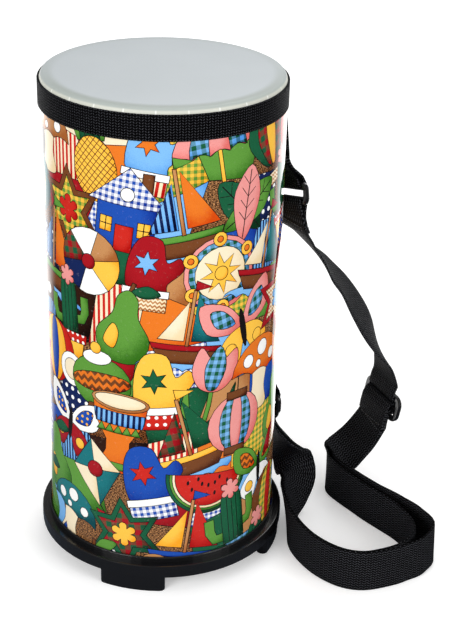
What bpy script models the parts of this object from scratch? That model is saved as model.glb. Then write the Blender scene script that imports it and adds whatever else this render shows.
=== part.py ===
"""Small conga drum with a fixed film head, a moulded foot ring and a shoulder strap.

Metres, +Z up. The drum's axis is Z and its feet stand on z = 0. The front of the drum faces -Y.
Azimuths are degrees round the axis, from the front (-Y) towards the right (+X).
"""
import bmesh
import bpy
from math import ceil, cos, degrees, pi, radians, sin, sqrt
from mathutils import Matrix, Vector

MM = 0.001
TOUCH = 0.3 * MM
SEGMENTS = 72

# The drum's main sizes
DRUM_HEIGHT = 416 * MM
SHELL_RADIUS = 95.6 * MM
SHELL_WALL = 5.5 * MM
RIM_ROUND = 4.0 * MM
WRAP_THICKNESS = 0.5 * MM
SEAM_GAP = 0.6 * MM
WRAP_SEAM_AZIMUTH = 198.0
BAND_SEAM_AZIMUTH = 184.5

# The film head and the webbing band that covers its edge
FILM_THICKNESS = 0.4 * MM
SKIRT_LENGTH = 19 * MM
BAND_HEIGHT = 21.5 * MM
BAND_THICKNESS = 1.4 * MM
BAND_BELOW_TOP = 2.8 * MM

# The foot ring
FOOT_HEIGHT = 14.7 * MM
RING_LEDGE = 6.3 * MM
RING_SKIRT_HEIGHT = 10.9 * MM
RING_SKIRT_WALL = 2.4 * MM
RING_EDGE_ROUND = 1.1 * MM
RING_BEAD_HEIGHT = 15.5 * MM
RING_BEAD_WIDTH = 1.9 * MM
RING_FLOOR = 3.4 * MM
RING_INNER_LIP = 2.2 * MM
FOOT_COUNT = 4
FOOT_AZIMUTH = -14.5
FOOT_SPAN = 32.2
FOOT_SET_BACK = 1.6 * MM
FOOT_DEPTH = 9.7 * MM
FOOT_CORNER = 4.4 * MM
FOOT_ROOT = 1.5 * MM

# Webbing of the strap and its tabs
WEBBING_WIDTH = 38 * MM
WEBBING_THICKNESS = 1.7 * MM
SEWN_END = 34 * MM
FOLD_TAPER = 13 * MM
LOOP_LEAD = 12 * MM
STRAP_STEP = 11 * MM
FINE_STEP = 5 * MM

# Moulded loops that join the strap to its tabs
LOOP_BAR = 5.2 * MM
LOOP_SLACK = 1.0 * MM
LOOP_OPENING_HEIGHT = 9.4 * MM
LOOP_CORNER = 3.7 * MM
LOOP_SIDES = 12

# Strap tabs: place of the screw, lean of the hanging tab, how far the loop stands off the tab's
# flat part, and how far the loop is turned out at its near end
TAB_DROP = 45 * MM
TAB_ABOVE_SCREW = 12 * MM
TAB_FLAT = 23 * MM
UPPER_SCREW_BELOW_TOP = 60 * MM
LOWER_SCREW_ABOVE_FLOOR = 156 * MM
UPPER_SCREW_Z = DRUM_HEIGHT - UPPER_SCREW_BELOW_TOP
UPPER_TAB = dict(azimuth=112.0, screw_z=UPPER_SCREW_Z, lean=13.0, stand_off=7.6 * MM, turn=14.0)
LOWER_TAB = dict(azimuth=117.0, screw_z=LOWER_SCREW_ABOVE_FLOOR, lean=0.0, stand_off=3.8 * MM, turn=2.0)

# Screws, washers and nuts of the tabs
SCREW_RADIUS = 2.2 * MM
SCREW_HEAD_RADIUS = 4.7 * MM
SCREW_HEAD_HEIGHT = 2.3 * MM
SCREW_TAIL = 2.5 * MM
WASHER_RADIUS = 8 * MM
WASHER_THICKNESS = 1.2 * MM
NUT_ACROSS_FLATS = 8 * MM
NUT_HEIGHT = 4 * MM

# Three-bar slider of the strap
SLIDER_BAR = 4.5 * MM
SLIDER_MIDDLE_BAR = 5.0 * MM
SLIDER_SLOT = 6.0 * MM
SLIDER_SIDE = 5.4 * MM
SLIDER_SLACK = 2.0 * MM
SLIDER_SHIFT = 1.6 * MM
SLIDER_THICKNESS = 3.6 * MM
SLIDER_CORNER = 9 * MM
SLIDER_EDGE = 0.9 * MM
SLIDER_AT = Vector((202, 77, 84)) * MM
SLIDER_DOWN = Vector((-0.16, 0.035, -0.985))
SLIDER_ACROSS = Vector((-0.48, 0.86, -0.13))
SLIDER_REACH = 15 * MM
SLIDER_LEAD = 24 * MM

# How the webbing turns in the slider: where it dips into the slots, and its rounded corners
CROSSING_SLANT = 0.2 * MM
CROSSING_LEAN = 1.7 * MM
CROSSING_ROUND = 1.8 * MM
WRAP_CORNER = 0.9 * MM
WRAP_ROUND = 1.4 * MM

# The strap's middle line between the upper loop and the slider: place in mm, and the direction
# across the webbing towards its upper or left edge
UPPER_RUN = [
    ((107.0, 28.5, 277.0), (-0.55, 0.80, -0.10)),
    ((117.5, 36.0, 262.0), (-0.20, 0.92, -0.20)),
    ((130.0, 42.0, 245.0), (0.10, 0.91, -0.40)),
    ((144.0, 48.5, 225.7), (0.28, 0.93, -0.29)),
    ((157.0, 54.0, 208.2), (0.33, 0.93, -0.25)),
    ((170.0, 58.5, 186.2), (0.42, 0.88, -0.28)),
    ((182.5, 64.0, 163.0), (0.40, 0.86, -0.32)),
    ((193.0, 69.5, 142.0), (0.22, 0.90, -0.38)),
    ((201.0, 73.5, 124.0), (-0.12, 0.92, -0.37)),
]

# The same for the doubled strap from the slider to the lower loop, with half the distance
# between its two layers, in mm
DOUBLED_RUN = [
    ((186.0, 77.5, 43.0), (-0.44, 0.82, 0.36), 1.2),
    ((171.0, 74.0, 28.5), (-0.14, 0.72, 0.68), 1.6),
    ((159.0, 64.0, 21.5), (0.08, 0.42, 0.90), 2.2),
    ((155.0, 51.0, 19.8), (0.00, 0.18, 0.98), 2.8),
    ((160.0, 38.0, 19.4), (0.00, 0.05, 1.00), 3.4),
    ((171.0, 22.0, 19.3), (0.00, 0.00, 1.00), 4.0),
    ((187.0, 0.0, 19.3), (0.00, 0.00, 1.00), 4.6),
    ((205.0, -21.0, 19.3), (0.00, 0.00, 1.00), 5.6),
    ((218.0, -41.0, 19.8), (-0.05, 0.00, 1.00), 7.4),
    ((224.5, -60.0, 19.9), (-0.05, 0.00, 1.00), 8.6),
    ((217.5, -77.0, 19.7), (-0.04, 0.00, 1.00), 7.0),
    ((203.0, -90.0, 19.3), (0.00, 0.00, 1.00), 3.6),
    ((185.0, -98.5, 19.3), (0.00, 0.00, 1.00), 1.6),
    ((167.0, -102.5, 19.3), (0.00, 0.00, 1.00), 1.15),
    ((150.0, -98.0, 19.3), (0.00, 0.00, 1.00), 1.1),
    ((134.0, -85.0, 19.3), (0.00, 0.00, 1.00), 1.1),
    ((121.5, -67.0, 19.3), (0.00, 0.00, 1.00), 1.1),
    ((112.6, -44.0, 19.3), (0.00, 0.00, 1.00), 1.1),
    ((110.5, -20.0, 19.2), (-0.12, 0.00, 0.99), 1.1),
    ((113.5, 3.0, 19.6), (-0.36, 0.00, 0.93), 1.15),
    ((119.5, 19.0, 23.5), (-0.62, -0.08, 0.78), 1.3),
    ((122.0, 31.0, 34.0), (-0.86, -0.02, 0.51), 1.5),
    ((113.0, 38.0, 48.0), (-0.72, 0.55, 0.42), 1.6),
    ((101.5, 44.5, 67.0), (-0.50, 0.86, 0.06), 1.8),
]


def reset_scene():
    for item in list(bpy.data.objects):
        bpy.data.objects.remove(item, do_unlink=True)


def material(name, colour, roughness, metallic=0.0):
    made = bpy.data.materials.new(name)
    made.use_nodes = True
    shader = made.node_tree.nodes["Principled BSDF"]
    shader.inputs["Base Color"].default_value = (*colour, 1.0)
    shader.inputs["Roughness"].default_value = roughness
    shader.inputs["Metallic"].default_value = metallic
    return made


def add_object(name, mesh, finish, frame=None):
    """Adds a mesh as a named object, placed by the frame in which the mesh is modelled."""
    item = bpy.data.objects.new(name, mesh)
    bpy.context.collection.objects.link(item)
    mesh.materials.append(finish)
    mesh.shade_smooth()
    mesh.set_sharp_from_angle(angle=radians(35))
    if frame:
        item.matrix_world = frame
    return item


def mesh_from(bm, name):
    bmesh.ops.recalc_face_normals(bm, faces=bm.faces)
    mesh = bpy.data.meshes.new(name)
    bm.to_mesh(mesh)
    bm.free()
    return mesh


def add_boolean(item, name, mesh, frame, operation):
    """Cuts a hidden tool mesh from an object, or joins it to the object."""
    tool = bpy.data.objects.new(name, mesh)
    bpy.context.collection.objects.link(tool)
    tool.matrix_world = frame
    tool.hide_render = True
    tool.display_type = "WIRE"
    change = item.modifiers.new(name, "BOOLEAN")
    change.operation = operation
    change.solver = "EXACT"
    change.object = tool


def around(azimuth, radius=1.0, z=0.0):
    """Point at an azimuth in degrees, a distance from the drum's axis and a height."""
    turn = radians(azimuth)
    return Vector((radius * sin(turn), -radius * cos(turn), z))


def arc(centre, radius, start, end, count):
    """Points of an arc in a flat plane, angles in degrees."""
    turns = [radians(start + (end - start) * i / count) for i in range(count + 1)]
    return [(centre[0] + radius * cos(a), centre[1] + radius * sin(a)) for a in turns]


def smooth_step(value):
    value = min(1.0, max(0.0, value))
    return value * value * (3 - 2 * value)


def turned(name, profile, azimuths=None):
    """Mesh of a profile of (radius, height) points turned round the axis.

    With a list of azimuths the shape is an open C with capped ends; otherwise it is a full turn.
    A profile that starts and ends on the axis is a solid disc.
    """
    full_turn = azimuths is None
    if full_turn:
        azimuths = [360.0 * i / SEGMENTS for i in range(SEGMENTS)]
    bm = bmesh.new()
    rows = []
    for radius, z in profile:
        spots = azimuths if radius > 0 else azimuths[:1]
        rows.append([bm.verts.new(around(a, radius, z)) for a in spots])
    on_axis = profile[0][0] == 0
    steps = len(azimuths) if full_turn else len(azimuths) - 1
    for first in range(len(rows) - on_axis):
        low, high = rows[first], rows[(first + 1) % len(rows)]
        for i in range(steps):
            j = (i + 1) % len(azimuths)
            corners = [low[i % len(low)], high[i % len(high)], high[j % len(high)], low[j % len(low)]]
            bm.faces.new(list(dict.fromkeys(corners)))
    if not full_turn:
        bm.faces.new([row[0] for row in rows])
        bm.faces.new([row[-1] for row in reversed(rows)])
    return mesh_from(bm, name)


def seam_azimuths(seam, radius):
    """Azimuths of a sheet rolled into a tube, with a narrow butt seam on one of the facet lines."""
    half_gap = degrees(SEAM_GAP / 2 / radius)
    between = [seam + 360.0 * i / SEGMENTS for i in range(1, SEGMENTS)]
    return [seam + half_gap] + between + [seam + 360 - half_gap]


def cylinder(name, radius, start, end, sides=32, hole=0.0):
    """Cylinder along +X between two places, or a tube when it has a hole."""
    bm = bmesh.new()
    rims = [(radius, start), (radius, end)]
    if hole:
        rims += [(hole, end), (hole, start)]
    rings = []
    for rim, x in rims:
        turns = [2 * pi * i / sides for i in range(sides)]
        rings.append([bm.verts.new((x, rim * cos(a), rim * sin(a))) for a in turns])
    loops = len(rings) if hole else len(rings) - 1
    for k in range(loops):
        low, high = rings[k], rings[(k + 1) % len(rings)]
        for i in range(sides):
            j = (i + 1) % sides
            bm.faces.new((low[i], low[j], high[j], high[i]))
    if not hole:
        bm.faces.new(rings[0])
        bm.faces.new(rings[-1])
    return mesh_from(bm, name)


# Heights and radii of the drum's body that follow from its sizes
WRAP_RADIUS = SHELL_RADIUS + TOUCH + WRAP_THICKNESS
FILM_RADIUS = SHELL_RADIUS + TOUCH + FILM_THICKNESS
SHELL_INNER = SHELL_RADIUS - SHELL_WALL
SHELL_TOP = DRUM_HEIGHT - FILM_THICKNESS - TOUCH
CHANNEL_FLOOR = FOOT_HEIGHT + RING_FLOOR
SHELL_BOTTOM = CHANNEL_FLOOR + TOUCH
SKIRT_BOTTOM = SHELL_TOP - RIM_ROUND - SKIRT_LENGTH
BAND_TOP = DRUM_HEIGHT - BAND_BELOW_TOP
RIM_CENTRE = (SHELL_RADIUS - RIM_ROUND, SHELL_TOP - RIM_ROUND)
BEAD_RADIUS = WRAP_RADIUS + TOUCH + RING_BEAD_WIDTH
RING_SKIRT_RADIUS = BEAD_RADIUS + RING_LEDGE
FOOT_OUTER_RADIUS = RING_SKIRT_RADIUS - FOOT_SET_BACK
FOOT_INNER_RADIUS = FOOT_OUTER_RADIUS - FOOT_DEPTH


def make_shell(finish):
    """Tube with its top edge rounded over to the outside, for the player's hands."""
    profile = [(SHELL_INNER, SHELL_BOTTOM), (SHELL_RADIUS, SHELL_BOTTOM)]
    profile += arc(RIM_CENTRE, RIM_ROUND, 0, 90, 6) + [(SHELL_INNER, SHELL_TOP)]
    shell = add_object("shell", turned("shell", profile), finish)
    drill_for_tabs(shell)
    return shell


def make_wrap(finish):
    """Printed sheet round the shell, butted at a seam behind, from the foot ring to the head."""
    inner, top = SHELL_RADIUS + TOUCH, SKIRT_BOTTOM - TOUCH
    profile = [(inner, SHELL_BOTTOM), (WRAP_RADIUS, SHELL_BOTTOM), (WRAP_RADIUS, top), (inner, top)]
    mesh = turned("printed_wrap", profile, seam_azimuths(WRAP_SEAM_AZIMUTH, WRAP_RADIUS))
    wrap = add_object("printed_wrap", mesh, finish)
    drill_for_tabs(wrap)
    return wrap


def make_head(finish):
    """Film drawn over the rounded edge, down to a skirt that is bonded to the shell."""
    under = SHELL_TOP + TOUCH
    outer_round = RIM_ROUND + TOUCH + FILM_THICKNESS
    profile = [(0, DRUM_HEIGHT), (RIM_CENTRE[0] / 2, DRUM_HEIGHT)]
    profile += arc(RIM_CENTRE, outer_round, 90, 0, 7) + [(FILM_RADIUS, SKIRT_BOTTOM)]
    profile += [(SHELL_RADIUS + TOUCH, SKIRT_BOTTOM)]
    profile += arc(RIM_CENTRE, RIM_ROUND + TOUCH, 0, 90, 7) + [(RIM_CENTRE[0] / 2, under), (0, under)]
    return add_object("drum_head", turned("drum_head", profile), finish)


def make_band(finish):
    """Woven band over the head's edge, butted at a seam behind."""
    inner = max(FILM_RADIUS, WRAP_RADIUS) + TOUCH
    outer, low = inner + BAND_THICKNESS, BAND_TOP - BAND_HEIGHT
    profile = [(inner, low), (outer, low), (outer, BAND_TOP), (inner, BAND_TOP)]
    mesh = turned("head_band", profile, seam_azimuths(BAND_SEAM_AZIMUTH, outer))
    return add_object("head_band", mesh, finish)


def ring_profile():
    """Section of the foot ring: a channel for the shell, a bead round it, a ledge and a skirt."""
    channel_outer, channel_inner = WRAP_RADIUS + TOUCH, SHELL_INNER - TOUCH
    lip_radius = channel_inner - RING_INNER_LIP
    ledge, bead_top = FOOT_HEIGHT + RING_SKIRT_HEIGHT, FOOT_HEIGHT + RING_BEAD_HEIGHT
    groove_outer, groove_top = RING_SKIRT_RADIUS - RING_SKIRT_WALL, ledge - RING_SKIRT_WALL
    edge_centre = (RING_SKIRT_RADIUS - RING_EDGE_ROUND, ledge - RING_EDGE_ROUND)
    bead_round = RING_BEAD_WIDTH / 2
    bead_centre = (channel_outer + bead_round, bead_top - bead_round)
    profile = [(lip_radius, FOOT_HEIGHT), (BEAD_RADIUS, FOOT_HEIGHT), (BEAD_RADIUS, groove_top)]
    profile += [(groove_outer, groove_top), (groove_outer, FOOT_HEIGHT)]
    profile += [(RING_SKIRT_RADIUS, FOOT_HEIGHT)] + arc(edge_centre, RING_EDGE_ROUND, 0, 90, 3)
    profile += [(BEAD_RADIUS, ledge)] + arc(bead_centre, bead_round, 0, 180, 4)
    profile += [(channel_outer, CHANNEL_FLOOR), (channel_inner, CHANNEL_FLOOR)]
    return profile + [(channel_inner, bead_top), (lip_radius, bead_top)]


def foot_outline():
    """Plan of a foot as (azimuth, radius): a sector with rounded corners."""
    middle = (FOOT_OUTER_RADIUS + FOOT_INNER_RADIUS) / 2
    half_width = radians(FOOT_SPAN / 2) * middle - FOOT_CORNER
    half_depth = (FOOT_OUTER_RADIUS - FOOT_INNER_RADIUS) / 2 - FOOT_CORNER
    flat = []
    for side, depth, start in ((1, 1, 0), (-1, 1, 90), (-1, -1, 180), (1, -1, 270)):
        flat += arc((side * half_width, depth * half_depth), FOOT_CORNER, start, start + 90, 3)
        if side == depth:
            flat += [(side * half_width * t / 3, depth * (half_depth + FOOT_CORNER)) for t in (2, 1, 0, -1, -2)]
    return [(degrees(u / middle), middle + v) for u, v in flat]


def make_foot_ring(finish):
    """Moulded ring with its feet, which goes on over the shell's lower end."""
    ring = add_object("foot_ring", turned("foot_ring", ring_profile()), finish)
    for index in range(FOOT_COUNT):
        centre = FOOT_AZIMUTH + 360.0 * index / FOOT_COUNT
        bm = bmesh.new()
        low = [bm.verts.new(around(centre + a, r, 0.0)) for a, r in foot_outline()]
        face = bm.faces.new(low)
        raised = bmesh.ops.extrude_face_region(bm, geom=[face])["geom"]
        top = [item for item in raised if isinstance(item, bmesh.types.BMVert)]
        bmesh.ops.translate(bm, verts=top, vec=(0, 0, FOOT_HEIGHT + FOOT_ROOT))
        name = "foot_%d_shape" % (index + 1)
        add_boolean(ring, name, mesh_from(bm, name), Matrix.Identity(4), "UNION")
    return ring


# The strap tabs. A tab's own frame has its origin on the wrap at the screw, X straight out of the
# drum, Y across the webbing to its far edge, and Z up along the webbing.

LAYER = WEBBING_THICKNESS + TOUCH
FOLD_RADIUS = LOOP_BAR / 2 + TOUCH + WEBBING_THICKNESS / 2
TAB_MIDDLE = TOUCH + WEBBING_THICKNESS + TOUCH / 2
LOOP_BAR_DISTANCE = LOOP_OPENING_HEIGHT + LOOP_BAR


def tab_frame(tab):
    place = Matrix.Translation(around(tab["azimuth"], WRAP_RADIUS, tab["screw_z"]))
    facing = Matrix.Rotation(radians(tab["azimuth"] - 90), 4, "Z")
    return place @ facing @ Matrix.Rotation(-radians(tab["lean"]), 4, "X")


def loop_frame(tab):
    """Frame on the axis of a loop's upper bar: Y along the bar, Z up."""
    bar = Matrix.Translation((TAB_MIDDLE + tab["stand_off"], 0, -TAB_DROP))
    return tab_frame(tab) @ bar @ Matrix.Rotation(radians(tab["turn"]), 4, "Z")


def screw_hole():
    return cylinder("screw_hole", SCREW_RADIUS + TOUCH, -4 * SHELL_WALL, 4 * SHELL_WALL)


def drill_for_tabs(item):
    for tab in (UPPER_TAB, LOWER_TAB):
        name = "%s_hole_at_%d" % (item.name, round(tab["screw_z"] / MM))
        add_boolean(item, name, screw_hole(), tab_frame(tab), "DIFFERENCE")


class Strip:
    """Middle line of a length of webbing, measured along it by s, with a frame at each place.

    down is the direction along the webbing, across points to its upper or left edge, and
    face is square to both. Past its ends the strip goes straight on.
    """

    def __init__(self, points, start, end):
        self.samples = []
        for i in range(1, len(points) - 2):
            for k in range(24 + (i == len(points) - 3)):
                spot = [catmull_rom([p[part] for p in points[i - 1:i + 3]], k / 24) for part in (0, 1)]
                self.samples.append((spot[0], spot[1]))
        self.lengths = [0.0]
        for (one, _), (two, _) in zip(self.samples, self.samples[1:]):
            self.lengths.append(self.lengths[-1] + (two - one).length)
        self.start, self.end = start.normalized(), end.normalized()
        self.length = self.lengths[-1]

    def point(self, s):
        if s <= 0:
            return self.samples[0][0] + self.start * s, self.samples[0][1]
        if s >= self.length:
            return self.samples[-1][0] + self.end * (s - self.length), self.samples[-1][1]
        k = next(i for i, reach in enumerate(self.lengths) if reach >= s)
        part = (s - self.lengths[k - 1]) / (self.lengths[k] - self.lengths[k - 1])
        one, two = self.samples[k - 1], self.samples[k]
        return one[0].lerp(two[0], part), one[1].lerp(two[1], part)

    def frame(self, s):
        place, across = self.point(s)
        down = (self.point(s + MM)[0] - self.point(s - MM)[0]).normalized()
        across = (across - down * across.dot(down)).normalized()
        return place, down, across, across.cross(down)

    def nearest(self, place):
        """How far along the strip a place on it lies."""
        distances = [(spot - place).length for spot, _ in self.samples]
        return self.lengths[distances.index(min(distances))]


def catmull_rom(points, part):
    a, b, c, d = (Vector(p) for p in points)
    square, cube = part * part, part * part * part
    return 0.5 * (2 * b + (c - a) * part + (2 * a - 5 * b + 4 * c - d) * square
                  + (3 * b - a - 3 * c + d) * cube)


def webbing(name, strip, path, finish, width=WEBBING_WIDTH):
    """Solid ribbon along a path of (s, height off the strip's middle line) points."""
    bm = bmesh.new()
    rows = []
    for i, (s, height) in enumerate(path):
        before, after = path[max(0, i - 1)], path[min(len(path) - 1, i + 1)]
        along, rise = after[0] - before[0], after[1] - before[1]
        place, down, across, face = strip.frame(s)
        thick = (face * along - down * rise).normalized() * WEBBING_THICKNESS / 2
        side = across * width / 2
        middle = place + face * height
        corners = (middle - side - thick, middle + side - thick, middle + side + thick, middle - side + thick)
        rows.append([bm.verts.new(corner) for corner in corners])
    for low, high in zip(rows, rows[1:]):
        for i in range(4):
            j = (i + 1) % 4
            bm.faces.new((low[i], low[j], high[j], high[i]))
    bm.faces.new(rows[0])
    bm.faces.new(rows[-1])
    return add_object(name, mesh_from(bm, name), finish)


def run_path(start, end, height, step=STRAP_STEP):
    """Path between two places on a strip, at a height given as a function of s."""
    count = max(1, ceil(abs(end - start) / step))
    spots = [start + (end - start) * i / count for i in range(count + 1)]
    return [(s, height(s)) for s in spots]


def fold_path(s, from_side, past_end):
    """Half turn of webbing round a bar at s, from one side of the strip to the other."""
    turns = [from_side * 90 * (1 - i / 4) for i in range(1, 8)]
    return [(s + past_end * FOLD_RADIUS * cos(radians(a)), FOLD_RADIUS * sin(radians(a))) for a in turns]


def fold_height(distance):
    """How far a layer lies off the middle at a distance from the bar that it folds round."""
    return LAYER / 2 + (FOLD_RADIUS - LAYER / 2) * (1 - smooth_step(distance / FOLD_TAPER))


def rounded_path(points, radius, steps=3):
    """Path through corner points with each inner corner rounded."""
    path = [points[0]]
    for before, corner, after in zip(points, points[1:], points[2:]):
        corner = Vector(corner)
        leave, arrive = (Vector(after) - corner), (Vector(before) - corner)
        reach = min(radius, leave.length / 2, arrive.length / 2)
        start, end = corner + arrive.normalized() * reach, corner + leave.normalized() * reach
        for i in range(steps + 1):
            part = i / steps
            path.append(tuple(start.lerp(corner, part).lerp(corner.lerp(end, part), part)))
    return path + [points[-1]]


def make_tab(name, tab, finish):
    """Length of webbing folded round the loop's upper bar, both ends held by the screw."""
    frame, loop = tab_frame(tab), loop_frame(tab)
    points = []
    top, bar = Vector((TAB_MIDDLE, 0, TAB_ABOVE_SCREW)), Vector((TAB_MIDDLE + tab["stand_off"], 0, -TAB_DROP))
    drop = top.z - bar.z
    for i in range(-1, 10):
        part = i / 8
        bend = smooth_step((part * drop - TAB_ABOVE_SCREW - TAB_FLAT) / (TAB_DROP - TAB_FLAT))
        place = Vector((top.x + (bar.x - top.x) * bend, 0, top.z - drop * part))
        turn = radians(tab["turn"]) * bend
        points.append((frame @ place, frame.to_3x3() @ Vector((-sin(turn), cos(turn), 0))))
    down = -(frame.to_3x3() @ Vector((0, 0, 1)))
    strip = Strip(points, down, down)
    bar_s = strip.nearest(loop.translation)
    inner = run_path(0, bar_s, lambda s: fold_height(bar_s - s), FINE_STEP)
    outer = run_path(bar_s, 0, lambda s: -fold_height(bar_s - s), FINE_STEP)
    made = webbing(name, strip, inner + fold_path(bar_s, 1, 1) + outer, finish)
    add_boolean(made, name + "_hole", screw_hole(), frame, "DIFFERENCE")
    return made


def loop_path():
    """Middle line of a loop's bar as (across, up), from its upper bar down and round."""
    half_width = (WEBBING_WIDTH + LOOP_BAR) / 2 + LOOP_SLACK - LOOP_CORNER
    half_height = LOOP_BAR_DISTANCE / 2 - LOOP_CORNER
    path = []
    for side, depth, start in ((1, 1, 0), (-1, 1, 90), (-1, -1, 180), (1, -1, 270)):
        centre = (side * half_width, depth * half_height - LOOP_BAR_DISTANCE / 2)
        path += arc(centre, LOOP_CORNER, start, start + 90, 4)
    return path


def make_loop(name, tab, finish):
    """Moulded rectangular loop of round bar, with its origin on the axis that it swings about."""
    path = [Vector((0, y, z)) for y, z in loop_path()]
    bm = bmesh.new()
    rings = []
    for i, place in enumerate(path):
        along = (path[(i + 1) % len(path)] - path[i - 1]).normalized()
        out = along.cross(Vector((1, 0, 0)))
        ring = []
        for k in range(LOOP_SIDES):
            a = 2 * pi * (k + 0.5) / LOOP_SIDES
            ring.append(bm.verts.new(place + (out * cos(a) + Vector((sin(a), 0, 0))) * LOOP_BAR / 2))
        rings.append(ring)
    for i, ring in enumerate(rings):
        after = rings[(i + 1) % len(rings)]
        for k in range(LOOP_SIDES):
            j = (k + 1) % LOOP_SIDES
            bm.faces.new((ring[k], ring[j], after[j], after[k]))
    return add_object(name, mesh_from(bm, name), finish, loop_frame(tab))


def make_screw(prefix, tab, steel):
    """Pan-head screw with a washer outside, and a washer and nut inside the shell."""
    frame = tab_frame(tab)
    clear = SCREW_RADIUS + TOUCH
    outside = TAB_MIDDLE + TOUCH / 2 + WEBBING_THICKNESS + TOUCH
    under_head = outside + WASHER_THICKNESS + TOUCH
    washer = cylinder(prefix + "_washer", WASHER_RADIUS, outside, outside + WASHER_THICKNESS, hole=clear)
    add_object(prefix + "_washer", washer, steel, frame)
    inside = sqrt(SHELL_INNER ** 2 - WASHER_RADIUS ** 2) - WRAP_RADIUS - TOUCH
    back = cylinder(prefix + "_back_washer", WASHER_RADIUS, inside - WASHER_THICKNESS, inside, hole=clear)
    add_object(prefix + "_back_washer", back, steel, frame)
    nut_top = inside - WASHER_THICKNESS - TOUCH
    nut_radius = NUT_ACROSS_FLATS / sqrt(3)
    nut = cylinder(prefix + "_nut", nut_radius, nut_top - NUT_HEIGHT, nut_top, sides=6)
    nut_item = add_object(prefix + "_nut", nut, steel, frame)
    add_boolean(nut_item, prefix + "_nut_bore", screw_hole(), frame, "DIFFERENCE")
    tail = nut_top - NUT_HEIGHT - SCREW_TAIL
    shank = cylinder(prefix + "_screw", SCREW_RADIUS, tail, under_head + SCREW_HEAD_HEIGHT / 2)
    screw = add_object(prefix + "_screw", shank, steel, frame)
    head = screw_head(under_head)
    add_boolean(screw, prefix + "_screw_head", head, frame, "UNION")


def screw_head(under_head, sides=32):
    """Domed pan head along +X."""
    profile = [(SCREW_HEAD_RADIUS, 0.0), (SCREW_HEAD_RADIUS, 0.45), (0.86 * SCREW_HEAD_RADIUS, 0.8),
               (0.55 * SCREW_HEAD_RADIUS, 1.0)]
    bm = bmesh.new()
    rings = []
    for radius, part in profile:
        x = under_head + part * SCREW_HEAD_HEIGHT
        turns = [2 * pi * i / sides for i in range(sides)]
        rings.append([bm.verts.new((x, radius * cos(a), radius * sin(a))) for a in turns])
    for low, high in zip(rings, rings[1:]):
        for i in range(sides):
            j = (i + 1) % sides
            bm.faces.new((low[i], low[j], high[j], high[i]))
    bm.faces.new(rings[0])
    bm.faces.new(rings[-1])
    return mesh_from(bm, "screw_head")


# The shoulder strap

def slider_frame():
    """Frame of the slider: X across the strap, Y up along it, Z out of the layers' outer face."""
    down = SLIDER_DOWN.normalized()
    across = (SLIDER_ACROSS - down * SLIDER_ACROSS.dot(down)).normalized()
    rows = Matrix((across, -down, across.cross(-down)))
    return Matrix.Translation(SLIDER_AT) @ rows.transposed().to_4x4()


def slider_points():
    """Points of the strap's middle line that keep it straight through the slider."""
    frame = slider_frame()
    across, down = frame.to_3x3().col[0], -frame.to_3x3().col[1]
    reaches = (-SLIDER_LEAD, -SLIDER_REACH, SLIDER_REACH, SLIDER_LEAD)
    return [(SLIDER_AT + down * reach, across) for reach in reaches]


def strap_strip():
    """The strap's middle line, from the upper loop's lower bar to the lower loop's."""
    upper, lower = loop_frame(UPPER_TAB), loop_frame(LOWER_TAB)
    up = (upper.to_3x3().col[2], lower.to_3x3().col[2])
    across = (upper.to_3x3().col[1], lower.to_3x3().col[1])
    first = upper.translation - up[0] * LOOP_BAR_DISTANCE
    last = lower.translation - up[1] * LOOP_BAR_DISTANCE
    points = [(first - up[0] * reach, across[0]) for reach in (-LOOP_LEAD, 0, LOOP_LEAD)]
    points += [(Vector(p) * MM, Vector(w).normalized()) for p, w in UPPER_RUN] + slider_points()
    points += [(Vector(p) * MM, Vector(w).normalized()) for p, w, _ in DOUBLED_RUN]
    points += [(last + up[1] * reach, across[1]) for reach in (-LOOP_LEAD, 0, LOOP_LEAD)]
    return Strip(points, -up[0], up[1])


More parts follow.
